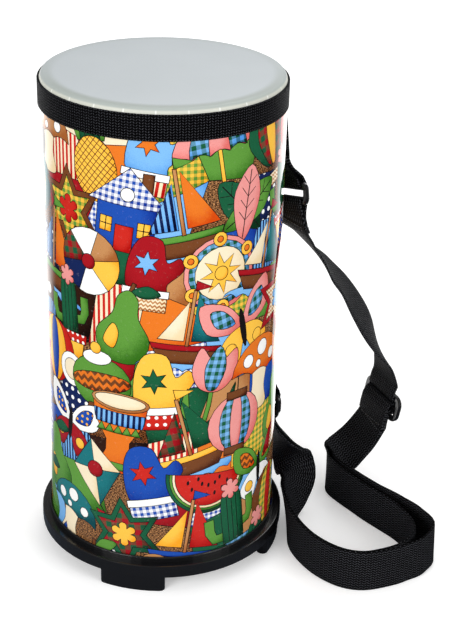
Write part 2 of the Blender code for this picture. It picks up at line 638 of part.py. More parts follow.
def strap_path(strip):
    """Path of the one length of webbing: sewn round the upper loop, over the slider's middle bar,
    down to the lower loop, round it and back up, and sewn round the slider's middle bar."""
    middle = strip.nearest(SLIDER_AT)
    end = strip.length
    clear = SLIDER_THICKNESS / 2 + TOUCH + WEBBING_THICKNESS / 2
    bar = SLIDER_MIDDLE_BAR / 2 + TOUCH + WEBBING_THICKNESS / 2
    slot = SLIDER_MIDDLE_BAR / 2 + SLIDER_SLOT - TOUCH - WEBBING_THICKNESS / 2
    over = SLIDER_REACH - MM
    gaps = [(strip.nearest(Vector(p) * MM), half * MM) for p, _, half in DOUBLED_RUN]
    gaps += [(end - FOLD_TAPER, LAYER / 2), (end, FOLD_RADIUS)]

    def half_gap(s):
        spots = [(middle + over, LAYER / 2)] + gaps
        for (one, a), (two, b) in zip(spots, spots[1:]):
            if s <= two:
                return a + (b - a) * smooth_step((s - one) / (two - one))
        return FOLD_RADIUS

    def single(s):
        leave = 1 - smooth_step((s - SEWN_END) / FOLD_TAPER)
        arrive = smooth_step((s - middle + over + 3 * FOLD_TAPER) / (3 * FOLD_TAPER))
        return fold_height(s) * leave + clear * arrive

    def settle(s):
        return 1 - smooth_step((s - middle - over) / (4 * FOLD_TAPER))

    def running(s):
        return -half_gap(s) + (clear + LAYER / 2) * settle(s)

    def returning(s):
        return half_gap(s) + (clear + LAYER * 1.5) * settle(s)

    def shifted(points):
        return [(middle + s, height) for s, height in points]

    crossing = [(-over, clear), (-slot - CROSSING_SLANT, clear), (CROSSING_LEAN - slot, -clear - LAYER),
                (slot - CROSSING_LEAN, -clear - LAYER), (slot + CROSSING_SLANT, clear), (over, clear)]
    wrap = [(over, clear + 2 * LAYER), (bar - WRAP_CORNER / 2, clear + 2 * LAYER),
            (-bar, clear + WRAP_CORNER), (-bar, -clear), (bar, -clear), (bar, clear + LAYER),
            (over, clear + LAYER)]
    path = run_path(SEWN_END, 0, lambda s: -fold_height(s), FINE_STEP) + fold_path(0, -1, -1)
    path += run_path(0, middle - over, single)[:-1]
    path += shifted(rounded_path(crossing, CROSSING_ROUND))
    path += run_path(middle + over, end, running)[1:] + fold_path(end, -1, 1)
    path += run_path(end, middle + over, returning)[:-1]
    path += shifted(rounded_path(wrap, WRAP_ROUND))
    return path + run_path(middle + over, middle + over + SEWN_END / 2, lambda s: running(s) + LAYER)[1:]


def make_strap(finish):
    strip = strap_strip()
    return webbing("shoulder_strap", strip, strap_path(strip), finish)


def plate_outline(half_width, half_height, corner):
    outline = []
    for side, depth, start in ((1, 1, 0), (-1, 1, 90), (-1, -1, 180), (1, -1, 270)):
        centre = (side * (half_width - corner), depth * (half_height - corner))
        outline += arc(centre, corner, start, start + 90, 5)
    return outline


def plate(name, outline, thickness):
    """Flat plate of an outline of (x, y) points, centred on z = 0."""
    bm = bmesh.new()
    face = bm.faces.new([bm.verts.new((x, y, -thickness / 2)) for x, y in outline])
    raised = bmesh.ops.extrude_face_region(bm, geom=[face])["geom"]
    top = [item for item in raised if isinstance(item, bmesh.types.BMVert)]
    bmesh.ops.translate(bm, verts=top, vec=(0, 0, thickness))
    return mesh_from(bm, name)


def make_slider(finish):
    """Three-bar slider: a rounded plate with two slots, where the webbing lies at the far end."""
    frame = slider_frame() @ Matrix.Translation((-SLIDER_SHIFT, 0, 0))
    slot_width = WEBBING_WIDTH / 2 + SLIDER_SLACK
    half_height = SLIDER_MIDDLE_BAR / 2 + SLIDER_SLOT + SLIDER_BAR
    outline = plate_outline(slot_width + SLIDER_SIDE, half_height, SLIDER_CORNER)
    slider = add_object("strap_slider", plate("strap_slider", outline, SLIDER_THICKNESS), finish, frame)
    edge = slider.modifiers.new("soft_edge", "BEVEL")
    edge.width = SLIDER_EDGE
    edge.segments = 2
    edge.limit_method = "ANGLE"
    edge.angle_limit = radians(60)
    for side, name in ((1, "upper_slot"), (-1, "lower_slot")):
        slot = plate(name, plate_outline(slot_width, SLIDER_SLOT / 2, MM), 3 * SLIDER_THICKNESS)
        offset = Matrix.Translation((0, side * (SLIDER_MIDDLE_BAR + SLIDER_SLOT) / 2, 0))
        add_boolean(slider, name, slot, frame @ offset, "DIFFERENCE")
    return slider


def main():
    reset_scene()
    fibre = material("fibre_tube", (0.62, 0.52, 0.38), 0.8)
    print_sheet = material("printed_sheet", (0.55, 0.16, 0.10), 0.12)
    film = material("head_film", (0.62, 0.68, 0.70), 0.4)
    woven = material("woven_black", (0.012, 0.012, 0.014), 0.8)
    moulded = material("moulded_black", (0.015, 0.016, 0.018), 0.35)
    steel = material("plated_steel", (0.55, 0.55, 0.55), 0.3, 1.0)
    make_shell(fibre)
    make_wrap(print_sheet)
    make_head(film)
    make_band(woven)
    make_foot_ring(moulded)
    for prefix, tab in (("upper", UPPER_TAB), ("lower", LOWER_TAB)):
        make_tab(prefix + "_tab", tab, woven)
        make_loop(prefix + "_loop", tab, moulded)
        make_screw(prefix + "_tab", tab, steel)
    make_slider(moulded)
    make_strap(woven)


main()
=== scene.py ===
"""Looks of the conga drum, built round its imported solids."""
from math import ceil, cos, hypot, pi, radians, sin
from random import Random

import bmesh
import bpy
from mathutils import Matrix, Vector
from mathutils.geometry import delaunay_2d_cdt


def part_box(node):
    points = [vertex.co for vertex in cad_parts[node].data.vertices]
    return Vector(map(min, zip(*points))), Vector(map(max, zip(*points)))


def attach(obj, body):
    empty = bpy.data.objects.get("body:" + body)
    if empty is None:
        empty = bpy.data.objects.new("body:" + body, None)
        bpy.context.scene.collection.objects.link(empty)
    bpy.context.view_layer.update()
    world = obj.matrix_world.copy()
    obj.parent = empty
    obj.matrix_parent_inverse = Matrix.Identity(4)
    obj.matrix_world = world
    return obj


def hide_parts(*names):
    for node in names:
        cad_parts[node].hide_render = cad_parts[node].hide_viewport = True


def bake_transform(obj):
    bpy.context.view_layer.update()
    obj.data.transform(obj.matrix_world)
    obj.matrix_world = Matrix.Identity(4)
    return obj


MM = 0.001
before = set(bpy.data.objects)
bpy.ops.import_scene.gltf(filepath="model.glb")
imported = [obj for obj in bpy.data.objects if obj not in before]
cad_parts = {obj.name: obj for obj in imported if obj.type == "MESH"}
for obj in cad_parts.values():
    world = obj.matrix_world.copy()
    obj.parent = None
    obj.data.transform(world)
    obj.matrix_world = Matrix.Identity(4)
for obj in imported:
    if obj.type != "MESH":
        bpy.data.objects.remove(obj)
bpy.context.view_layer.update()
scene = bpy.context.scene

# Sizes of the solids and of their looks in metres, those of the yarns in millimetres
WRAP_RADIUS = 96.4 * MM
SEAM_AZIMUTH = 198.0
SEAM_GAP = 0.6 * MM
FACETS = 72
WRAP_THICKNESS = 0.5 * MM
WRAP_LOW, WRAP_HIGH = [corner.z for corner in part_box("printed_wrap")]
WEBBING_WIDTH = 38 * MM
WEBBING_THICKNESS = 1.7 * MM
HALF_THICKNESS = WEBBING_THICKNESS / 2
TOUCH = 0.3 * MM
LAYER = WEBBING_THICKNESS + TOUCH
LOOP_BAR = 5.2 * MM
LOOP_BAR_DISTANCE = 14.6 * MM
FOLD_RADIUS = LOOP_BAR / 2 + TOUCH + HALF_THICKNESS
FOLD_TAPER = 13 * MM
LOOP_LEAD = 12 * MM
SEWN_END = 27 * MM
RETURN_END = 17 * MM
TAB_DROP = 45 * MM
TAB_MIDDLE = TOUCH + WEBBING_THICKNESS + TOUCH / 2
YARN_COLUMN, YARN_SLANT = 2.2, 0.78
WEBBING_ROW, WEBBING_RIB = 2.4, 0.16
BAND_ROW, BAND_RIB = 2.1, 0.42
STITCH_PITCH, STITCH_LENGTH, STITCH_WIDTH, STITCH_COUNT = 3.4 * MM, 2.9 * MM, 0.9 * MM, 4
TAB_SEAMS = (14 * MM, 20 * MM)
LOOP_SEAMS = (17 * MM, 23 * MM)
SLIDER_SEAMS = (6 * MM, 12 * MM)
SELVEDGE = (0.12, 0.55)
FLAT_STEPS, SPAN_STEPS = 8, 24
JOIN = 14 * MM
BEND_REACH = 60 * MM
CROSSING_SLANT, CROSSING_LEAN, CROSSING_ROUND = 0.2 * MM, 1.7 * MM, 1.8 * MM
WRAP_SET_IN, WRAP_CORNER, WRAP_ROUND = 0.6 * MM, 0.9 * MM, 1.4 * MM
UPPER_TAB = dict(azimuth=112.0, screw_z=356 * MM, lean=13.0, stand_off=7.6 * MM, turn=14.0)
LOWER_TAB = dict(azimuth=117.0, screw_z=156 * MM, lean=0.0, stand_off=3.8 * MM, turn=2.0)
SLIDER_AT = Vector((202, 77, 84)) * MM
SLIDER_DOWN = Vector((-0.16, 0.035, -0.985)).normalized()
SLIDER_ACROSS = Vector((-0.48, 0.86, -0.13))
SLIDER_REACH = 15 * MM
SLIDER_LEAD = 24 * MM
SLIDER_THICKNESS = 3.6 * MM
SLIDER_MIDDLE_BAR = 5.0 * MM
SLIDER_SLOT = 6.0 * MM

# The strap's route: place (mm), direction across the webbing and, where doubled, half its gap (mm)
UPPER_RUN = [
    (107, 28.5, 277, -0.55, 0.8, -0.1),
    (117.5, 36, 262, -0.2, 0.92, -0.2),
    (130, 42, 245, 0.1, 0.91, -0.4),
    (144, 48.5, 225.7, 0.28, 0.93, -0.29),
    (157, 54, 208.2, 0.33, 0.93, -0.25),
    (170, 58.5, 186.2, 0.42, 0.88, -0.28),
    (182.5, 64, 163, 0.4, 0.86, -0.32),
    (193, 69.5, 142, 0.22, 0.9, -0.38),
    (201, 73.5, 124, -0.12, 0.92, -0.37),
]
DOUBLED_RUN = [
    (186, 77.5, 43, -0.44, 0.82, 0.36, 1.2),
    (171, 74, 28.5, -0.14, 0.72, 0.68, 1.6),
    (159, 64, 21.5, 0.08, 0.42, 0.9, 2.2),
    (155, 51, 19.8, 0, 0.18, 0.98, 2.8),
    (160, 38, 19.4, 0, 0.05, 1, 3.4),
    (171, 22, 19.3, 0, 0, 1, 4),
    (187, 0, 19.3, 0, 0, 1, 4.6),
    (205, -21, 19.3, 0, 0, 1, 5.6),
    (218, -41, 19.8, -0.05, 0, 1, 7.4),
    (224.5, -60, 19.9, -0.05, 0, 1, 8.6),
    (217.5, -77, 19.7, -0.04, 0, 1, 5.6),
    (203, -90, 19.3, 0, 0, 1, 2.4),
    (185, -98.5, 19.3, 0, 0, 1, 1.6),
    (167, -102.5, 19.3, 0, 0, 1, 1.15),
    (150, -98, 19.3, 0, 0, 1, 1.1),
    (134, -85, 19.3, 0, 0, 1, 1.1),
    (121.5, -67, 19.3, 0, 0, 1, 1.1),
    (112.6, -44, 19.3, 0, 0, 1, 1.1),
    (110.5, -20, 19.2, -0.12, 0, 0.99, 1.1),
    (113.5, 3, 19.6, -0.36, 0, 0.93, 1.15),
    (119.5, 19, 23.5, -0.62, -0.08, 0.78, 1.3),
    (122, 31, 34, -0.86, -0.02, 0.51, 1.5),
    (113, 38, 48, -0.72, 0.55, 0.42, 1.6),
    (101.5, 44.5, 67, -0.5, 0.86, 0.06, 1.8),
]


# Putting things into the scene

def placed(name, data, *materials):
    """Object of a mesh, a light or a camera, with its materials."""
    for material in materials:
        data.materials.append(material)
    item = bpy.data.objects.new(name, data)
    scene.collection.objects.link(item)
    return item


def mesh_of(name, bm):
    mesh = bpy.data.meshes.new(name)
    bm.to_mesh(mesh)
    bm.free()
    return mesh


# Camera, at the photograph's viewpoint

CAMERA_AT = (0, -1.1066, 0.7504)
CAMERA_TURN = (0.4572, 0.0555, 0.0287)
CAMERA_LENS, SENSOR_WIDTH, CLIP_START = 84.33, 36, 0.05


def add_camera():
    data = bpy.data.cameras.new("camera")
    camera = placed("camera", data)
    pitch, yaw, roll = CAMERA_TURN
    forward = Vector((sin(yaw) * cos(pitch), cos(yaw) * cos(pitch), -sin(pitch)))
    level = Vector((cos(yaw), -sin(yaw), 0))
    over = level.cross(forward)
    right = level * cos(roll) + over * sin(roll)
    up = over * cos(roll) - level * sin(roll)
    turn = Matrix((right, up, -forward)).transposed().to_4x4()
    camera.matrix_world = Matrix.Translation(CAMERA_AT) @ turn
    data.lens = CAMERA_LENS
    data.sensor_width = SENSOR_WIDTH
    data.clip_start = CLIP_START
    scene.camera = camera


# Shader nodes

class Tree:
    """The nodes of a material or world, with short names for the sums that the patterns need."""

    def __init__(self, name, shader="Principled BSDF", kind=bpy.data.materials):
        self.owner = kind.new(name)
        self.owner.use_nodes = True
        self.nodes = self.owner.node_tree.nodes
        self.links = self.owner.node_tree.links
        self.shader = self.nodes[shader]

    def put(self, socket, value):
        if isinstance(value, bpy.types.NodeSocket):
            self.links.new(value, socket)
        elif isinstance(value, (tuple, list)) and len(value) == 3 and len(socket.default_value) == 4:
            socket.default_value = (*value, 1.0)
        else:
            socket.default_value = value

    def math(self, operation, *values):
        node = self.nodes.new("ShaderNodeMath")
        node.operation = operation
        for socket, value in zip(node.inputs, values):
            self.put(socket, value)
        return node.outputs[0]

    def add(self, a, b):
        return self.math("ADD", a, b)

    def sub(self, a, b):
        return self.math("SUBTRACT", a, b)

    def mul(self, a, b):
        return self.math("MULTIPLY", a, b)

    def squares(self, a, b):
        return self.add(self.mul(a, a), self.mul(b, b))

    def less(self, a, b):
        return self.math("LESS_THAN", a, b)

    def soft(self, value, low, high):
        """0 below low, 1 above high, smooth in between."""
        node = self.nodes.new("ShaderNodeMapRange")
        node.interpolation_type = "SMOOTHSTEP"
        for key, part in (("Value", value), ("From Min", low), ("From Max", high)):
            self.put(node.inputs[key], part)
        return node.outputs[0]

    def mix(self, factor, a, b):
        node = self.nodes.new("ShaderNodeMix")
        node.data_type = "RGBA"
        self.put(node.inputs[0], factor)
        self.put(node.inputs[6], a)
        self.put(node.inputs[7], b)
        return node.outputs[2]

    def join(self, x, y, z=0.0):
        node = self.nodes.new("ShaderNodeCombineXYZ")
        for socket, value in zip(node.inputs, (x, y, z)):
            self.put(socket, value)
        return node.outputs[0]

    def split(self, vector):
        node = self.nodes.new("ShaderNodeSeparateXYZ")
        self.put(node.inputs[0], vector)
        return node.outputs

    def place(self):
        """Place in the drum's frame, in millimetres."""
        node = self.nodes.new("ShaderNodeTexCoord")
        return [self.mul(part, 1000.0) for part in self.split(node.outputs["Object"])]

    def uv(self):
        """Place along and across a ribbon, in millimetres."""
        node = self.nodes.new("ShaderNodeUVMap")
        return [self.mul(part, 1000.0) for part in list(self.split(node.outputs[0]))[:2]]

    def unrolled(self):
        """Distance round the drum and height, in millimetres, and the distance from its axis."""
        x, y, z = self.place()
        seam = radians(SEAM_AZIMUTH)
        back = self.add(self.mul(x, sin(seam)), self.mul(y, -cos(seam)))
        side = self.add(self.mul(x, cos(seam)), self.mul(y, sin(seam)))
        turn = self.math("ARCTAN2", self.mul(side, -1.0), self.mul(back, -1.0))
        return self.mul(turn, WRAP_RADIUS / MM), z, self.math("SQRT", self.squares(x, y))

    def noise(self, place, scale, detail):
        node = self.nodes.new("ShaderNodeTexNoise")
        self.put(node.inputs["Vector"], self.join(*place))
        self.put(node.inputs["Scale"], scale)
        self.put(node.inputs["Detail"], detail)
        return node.outputs[0]

    def light(self, ray):
        """1 for rays of a kind, 0 for the others."""
        return self.nodes.new("ShaderNodeLightPath").outputs["Is %s Ray" % ray]

    def bump(self, height, distance):
        node = self.nodes.new("ShaderNodeBump")
        for key, part in (("Height", height), ("Distance", distance), ("Strength", 1.0)):
            self.put(node.inputs[key], part)
        self.put(self.shader.inputs["Normal"], node.outputs[0])

    def finish(self, **values):
        for key, value in values.items():
            self.put(self.shader.inputs[key.replace("_", " ")], value)
        return self.owner


# The printed wrap: a crowd of instruments, fruit, flowers and toys in millimetres, laid one over another

INKS = {
    "ink": (0.008, 0.006, 0.006), "red": (0.36, 0.008, 0.014), "scarlet": (0.56, 0.022, 0.014),
    "orange": (0.74, 0.18, 0.018), "yellow": (0.92, 0.53, 0.065), "cream": (0.88, 0.76, 0.55),
    "white": (0.93, 0.93, 0.91), "sky": (0.20, 0.46, 0.80), "blue": (0.014, 0.075, 0.40),
    "navy": (0.007, 0.018, 0.09), "pine": (0.010, 0.105, 0.045), "leaf": (0.11, 0.30, 0.045),
    "brown": (0.17, 0.055, 0.017), "tan": (0.52, 0.25, 0.095), "pink": (0.80, 0.31, 0.29),
    "teal": (0.012, 0.17, 0.19), "bark": (0.030, 0.009, 0.004),
}
PATTERNS = {
    "tartan": ("red", "pine", "gingham", 9.0), "gingham": ("white", "blue", "gingham", 4.4),
    "red_stripe": ("cream", "scarlet", "stripe", 4.6), "blue_stripe": ("sky", "navy", "stripe", 3.8),
    "red_dot": ("scarlet", "white", "dot", 5.4), "blue_dot": ("blue", "yellow", "dot", 5.0),
    "green_check": ("leaf", "yellow", "gingham", 5.2), "pine_check": ("pine", "sky", "gingham", 6.0),
    "zigzag": ("orange", "brown", "zigzag", 6.0), "hatch": ("yellow", "brown", "hatch", 5.0),
    "knit": ("cream", "tan", "zigzag", 3.2), "night": ("navy", "white", "dot", 8.0),
    "fur": ("bark", "tan", "fur", 1.6),
}
GROUND = (
    "fur", "orange", "blue_stripe", "pine", "fur", "red", "green_check", "bark", "tan", "night",
    "gingham", "leaf", "red_stripe", "blue", "fur", "sky",
)
TRIOS = [
    ("scarlet", "yellow", "blue"), ("blue", "gingham", "scarlet"), ("pine", "tartan", "yellow"),
    ("yellow", "red_dot", "pine"), ("teal", "cream", "red"), ("red", "knit", "sky"),
    ("orange", "blue_stripe", "leaf"), ("sky", "red_stripe", "orange"), ("leaf", "zigzag", "white"),
    ("brown", "green_check", "scarlet"), ("white", "blue_dot", "red"), ("pink", "pine_check", "yellow"),
    ("tan", "tartan", "navy"),
]
INK_LINE, SHARPEST, SAME_POINT = 0.6, 0.8, 1e-4
PETAL_STEPS, PETAL_FULLNESS, SCALLOP_DEPTH = 6, 0.55, 2.6
HATCH_LINE, DOT_AREA, FUR_EDGE = 0.26, 0.055, (0.46, 0.60)
DEEPENING, WASH_TINT, COAT_IOR = 1.75, (1.0, 0.95, 0.85), 1.55
LIT_SIDE, SHADE_EDGE, SHADE_DEPTH = (-0.25, 0.3), (1.45, 3.0), 0.9
STIPPLE_EDGE, STIPPLE_DEPTH = (0.52, 0.66), 0.32
WASH_EDGE, WASH_DEPTH, STIPPLE_SHARE = (0.95, 1.15), 0.20, 0.6


def disc(x, y, rx, ry=0.0, start=0, end=360, count=20):
    """Points of an ellipse, or of a part of one."""
    steps = count + (end - start < 360)
    turns = [radians(start + (end - start) * i / count) for i in range(steps)]
    return [(x + rx * cos(a), y + (ry or rx) * sin(a)) for a in turns]


def around(y, radius, turn):
    """Place at an angle round a point of the middle line."""
    return (radius * cos(radians(turn)), y + radius * sin(radians(turn)))


def turned(turn, *spots):
    co, si = cos(turn), sin(turn)
    return [(x * co + y * si, y * co - x * si) for x, y in spots]


def slab(reach, low, high, upper=None, x=0.0):
    """Four corners about x, with half widths below and above."""
    upper = reach if upper is None else upper
    return [(x - reach, low), (x + reach, low), (x + upper, high), (x - upper, high)]


def blob(*corners, fine=4):
    """Closed smooth curve through points."""
    count = len(corners)
    spots = [[(*corners[(i + k) % count], 0) for k in range(4)] for i in range(count)]
    return [tuple(catmull_rom(four, j / fine)[:2]) for four in spots for j in range(fine)]


def mirrored(*right):
    """Closed smooth curve from the points of its right half, the top one first."""
    left = [(-x, y) for x, y in reversed(right) if x > 0]
    return blob(*right, *left)


def rod(*spots, width=1.4):
    """Stroke along a line of points."""
    sides = []
    for i, (x, y) in enumerate(spots):
        before, after = spots[max(0, i - 1)], spots[min(len(spots) - 1, i + 1)]
        run, rise = after[0] - before[0], after[1] - before[1]
        reach = width / 2 / hypot(run, rise)
        sides.append(((x + rise * reach, y - run * reach), (x - rise * reach, y + run * reach)))
    return [right for right, _ in sides] + [left for _, left in reversed(sides)]


def bloom(x, y, petals, outer, inner, turn=0.0):
    spots = []
    count = petals * PETAL_STEPS
    for i in range(count):
        a = 2 * pi * i / count
        r = inner + (outer - inner) * abs(sin(petals * a / 2)) ** PETAL_FULLNESS
        spots.append((x + r * cos(a + turn), y + r * sin(a + turn)))
    return spots


def star(x, y, points, outer, inner):
    turns = [pi / 2 + pi * i / points for i in range(2 * points)]
    return [(x + (inner if i % 2 else outer) * cos(a), y + (inner if i % 2 else outer) * sin(a))
            for i, a in enumerate(turns)]


def dome(reach, height, scallops, low=0.0):
    """Half an ellipse with a scalloped lower edge."""
    count = 4 * scallops
    drops = [SCALLOP_DEPTH * abs(sin(pi * i / 4)) for i in range(count)]
    edge = [(-reach + 2 * reach * i / count, low + drops[i]) for i in range(1, count)]
    return disc(0, low, reach, height, 0, 180, 12) + edge


def slice_of(x, y, radius, start, end):
    return [(x, y)] + disc(x, y, radius, radius, start, end, 4)


def parasol(a, b, c):
    yield c, rod((0, 28), (0, -22), (2, -27), (6, -27), (7, -22), width=2.2)
    for reach, fill, scallops in ((31, a, 5), (20, b, 3), (7, a, 1)):
        yield fill, dome(reach, 25, scallops)


def balloon(a, b, c):
    yield "ink", rod((-5, -26), (-10, -14), width=0.9)
    yield "ink", rod((5, -26), (10, -14), width=0.9)
    yield "knit", slab(6, -34, -25, 7)
    side = ((18, 25), (25, 8), (17, -8), (8, -17))
    for part, fill in ((1.0, a), (0.62, b), (0.22, c)):
        yield fill, mirrored((0, 31), *[(x * part, y) for x, y in side], (0, -18))


def kite(a, b, c):
    yield "ink", rod((0, -22), (4, -30), (-2, -37), (3, -43), width=1.0)
    yield c, [(3, -29), (9, -32), (8, -26), (-1, -33), (-3, -27)]
    yield a, [(21, 7), (0, 32), (-21, 7), (0, -24)]
    yield b, [(0, 7), (21, 7), (0, 32)]
    yield b, [(0, 7), (-21, 7), (0, -24)]
    yield c, disc(0, 7, 6.5)


def goblet_drum(a, b, c):
    left = [(-19, 22), (-17, 8), (-8, -7), (-8, -15), (-15, -31)]
    yield a, [(19, 22)] + left + [(-x, y) for x, y in left[:0:-1]]
    yield b, [(18, 14), (-18, 14), (-16, 5), (16, 5)]
    for i in range(5):
        yield c, [(-15 + 6 * i, -1), (-9 + 6 * i, -1), (-12 + 6 * i, 4.4)]
    yield c, slab(12, -24, -29, 14)
    yield "tan", disc(0, 22, 20, 6.5)
    yield "cream", disc(0, 22.4, 17.5, 4.8)


def maracas(a, b, c):
    for side, first, second in ((-1, a, b), (1, c, "cream")):
        yield "tan", rod((side * 4, -30), (side * 12, 2), width=4.4)
        yield first, disc(side * 14, 13, 13.5, 16)
        yield second, disc(side * 14, 13, 13.2, 5.4)
        curve = ((-11, 13), (-4, 15), (4, 11), (11, 13))
        yield "ink", rod(*[(side * 14 + x, y) for x, y in curve], width=1.2)


def tambourine(a, b, c):
    yield a, disc(0, 0, 28)
    yield b, disc(0, 0, 24.5)
    yield "cream", disc(0, 0, 20)
    yield c, star(0, 0, 8, 16, 7)
    yield "yellow", disc(0, 0, 5)
    for i in range(6):
        spot = around(0, 26, 60 * i + 25)
        yield "yellow", disc(*spot, 5.2, count=12)
        yield "orange", disc(*spot, 2.2, count=8)


def guitar(a, b, c):
    yield "brown", rod((0, 0), (0, 38), width=6)
    yield c, slab(5, 35, 46, 7)
    yield a, mirrored((0, 12), (13, 8), (9, -4), (20, -18), (13, -31), (0, -34))
    yield b, mirrored((0, 8), (8.5, 4), (6, -6), (14, -18), (9, -26), (0, -29))
    yield "ink", disc(0, -4, 5.4)
    yield "brown", slab(8, -21, -18)
    for x in (-1.8, 0, 1.8):
        yield "ink", rod((x, -19), (x, 38), width=0.5)


def sunflower(a, b, c):
    yield "leaf", rod((0, -8), (2, -20), (0, -36), width=3)
    yield "pine", blob((1, -24), (10, -18), (22, -20), (12, -28))
    yield "leaf", blob((0, -28), (-9, -20), (-21, -21), (-11, -31))
    yield "orange", bloom(0, 6, 13, 27, 16, 0.2)
    yield "yellow", bloom(0, 6, 13, 25, 13)
    yield "brown", disc(0, 6, 12.5)
    yield "hatch", disc(0, 6, 8.5)


def daisy(a, b, c):
    yield "pine", bloom(0, 0, 5, 30, 8, 0.3)
    yield a, bloom(0, 0, 8, 26, 10)
    yield b, bloom(0, 0, 8, 17, 8, 0.39)
    yield c, disc(0, 0, 7.5)
    yield "orange", disc(0, 0, 3.4, count=10)


def tulip(a, b, c):
    yield "leaf", rod((0, 0), (1, -18), (0, -36), width=3)
    yield "pine", blob((0, -34), (12, -22), (20, 0), (19, -18), (10, -32))
    yield "leaf", blob((0, -34), (-12, -24), (-18, -6), (-19, -22), (-10, -33))
    yield a, mirrored((0, 15), (6, 19), (15, 27), (18, 10), (11, -3), (0, -7))
    yield b, mirrored((0, 29), (8, 14), (5, -2), (0, -6))


def foliage(a, b, c):
    for turn, fill in ((-0.9, "pine"), (0.9, "leaf"), (0.0, a)):
        yield fill, blob(*turned(turn, (0, 31), (11, 14), (8, -6), (0, -20), (-8, -6), (-11, 14)))
        for y in (-6, 2, 10, 18):
            for side in (-1, 1):
                yield "ink", rod(*turned(turn, (0, y), (side * 6, y + 6)), width=0.5)
        yield "ink", rod(*turned(turn, (0, -18), (0, 28)), width=0.8)


def apple(a, b, c):
    yield "brown", rod((0, 12), (1, 20), (4, 27), width=2.4)
    yield "leaf", blob((3, 20), (11, 28), (22, 25), (12, 18))
    yield "scarlet", mirrored((0, 14), (11, 19), (23, 9), (19, -12), (8, -23), (0, -20))
    yield "orange", blob((-16, 8), (-9, 13), (-12, 2), (-17, -4))


def pear(a, b, c):
    yield "brown", rod((0, 22), (3, 33), width=2.4)
    yield "pine", blob((2, 27), (12, 33), (21, 28), (11, 24))
    yield "leaf", mirrored((0, 27), (7, 21), (9, 8), (19, -8), (14, -24), (0, -28))
    yield "yellow", blob((-8, 0), (-3, -6), (-5, -18), (-13, -14))


def melon(a, b, c):
    for fill, radius in (("pine", 32), ("leaf", 29.5), ("cream", 27.5), ("scarlet", 25.5)):
        yield fill, disc(0, 12, radius, radius, 180, 360, 18)
    for reach, step in ((9, 34), (17, 22)):
        for turn in range(202, 345, step):
            spot = around(12, reach, turn)
            yield "ink", disc(*spot, 1.0, 1.9, count=8)


def citrus(a, b, c):
    yield "orange", disc(0, 0, 25)
    yield "cream", disc(0, 0, 22)
    for i in range(8):
        middle = around(0, 2.6, 45 * i + 22.5)
        yield "yellow" if i % 2 else "orange", slice_of(*middle, 16.5, 45 * i + 4, 45 * i + 41)


def pineapple(a, b, c):
    for turn, reach in ((-14, 30), (14, 30), (-8, 37), (8, 37), (0, 41)):
        yield "leaf" if turn % 4 else "pine", [(turn / 2 - 4, 12), (turn / 2 + 4, 12), (turn * 1.2, reach)]
    yield "hatch", disc(0, -8, 17, 23)


def mushroom(a, b, c):
    yield "cream", mirrored((0, 4), (8, 2), (7, -14), (11, -27), (0, -30))
    yield a, dome(27, 26, 3, -2)
    for x, y, r in ((-14, 8, 4.5), (0, 15, 5.5), (14, 7, 4), (-3, 4, 2.6)):
        yield "white", disc(x, y, r, count=14)


def sailboat(a, b, c):
    yield "sky", dome(34, 9, 6, -30)
    yield "brown", slab(26, -10, -24, 17)
    yield c, slab(26, -10, -14, 24)
    yield "tan", rod((0, -10), (0, 33), width=2)
    yield a, [(3, -6), (24, -6), (3, 31)]
    yield b, [(-3, -6), (-3, 24), (-21, -6)]
    yield c, [(0, 33), (12, 36), (0, 40)]


def house(a, b, c):
    yield "brown", slab(3.5, 10, 28, x=12.5)
    yield a, slab(20, -28, 6)
    yield b, [(-27, 4), (27, 4), (0, 30)]
    yield c, slab(6, -28, -10)
    for x in (-13, 13):
        yield "yellow", slab(4, -16, -6, x=x)
        yield "ink", rod((x, -16), (x, -6), width=0.7)
        yield "ink", rod((x - 4, -11), (x + 4, -11), width=0.7)
    yield "white", disc(0, 12, 4.5, count=14)


def lantern(a, b, c):
    yield "ink", rod((0, 24), (0, 36), width=1)
    yield c, rod((0, -20), (0, -36), width=4)
    for reach, fill in ((23, a), (14, b), (5, a)):
        yield fill, disc(0, 0, reach, 23)
    for y in (-22, 22):
        yield "brown", slab(9, y - 3, y + 3)


def teapot(a, b, c):
    yield a, blob((14, -6), (24, 0), (28, 12), (33, 12), (30, -4), (18, -14))
    yield c, disc(-24, 0, 12)
    yield "cream", disc(-24, 0, 7.5)
    yield a, disc(0, -4, 23, 19)
    yield b, disc(0, -4, 22.6, 7)
    yield c, disc(0, 14, 11, 5)
    yield "yellow", disc(0, 21, 4, count=12)
    yield "brown", slab(12, -25, -20, 10)


def butterfly(a, b, c):
    for side in (-1, 1):
        yield a, blob((0, 2), (side * 10, 20), (side * 28, 26), (side * 27, 6), (side * 10, -1))
        yield b, blob((side * 6, 5), (side * 13, 17), (side * 22, 19), (side * 19, 7))
        yield c, blob((0, 0), (side * 14, -3), (side * 22, -16), (side * 10, -26), (side * 3, -14))
        yield "yellow", disc(side * 12, -13, 4.4, count=14)
    yield "ink", disc(0, -1, 2.6, 15, count=14)


def sun(a, b, c):
    yield a, star(0, 0, 14, 32, 21)
    yield b, disc(0, 0, 20)
    yield "yellow", star(0, 0, 7, 17, 8)
    yield c, disc(0, 0, 6)


def patch_star(a, b, c):
    yield a, star(0, 0, 6, 31, 17)
    yield b, star(0, 0, 6, 23, 12)
    yield c, bloom(0, 0, 6, 10, 5)


def mitten(a, b, c):
    yield a, blob((-14, -14), (-16, 10), (-8, 27), (6, 26), (11, 10), (20, 14), (23, 5), (13, -6), (11, -15))
    yield c, star(-3, 8, 6, 9, 4)
    yield b, slab(15.5, -28, -13, x=-1.5)
    yield "white", slab(16.5, -17, -12, x=-1.5)


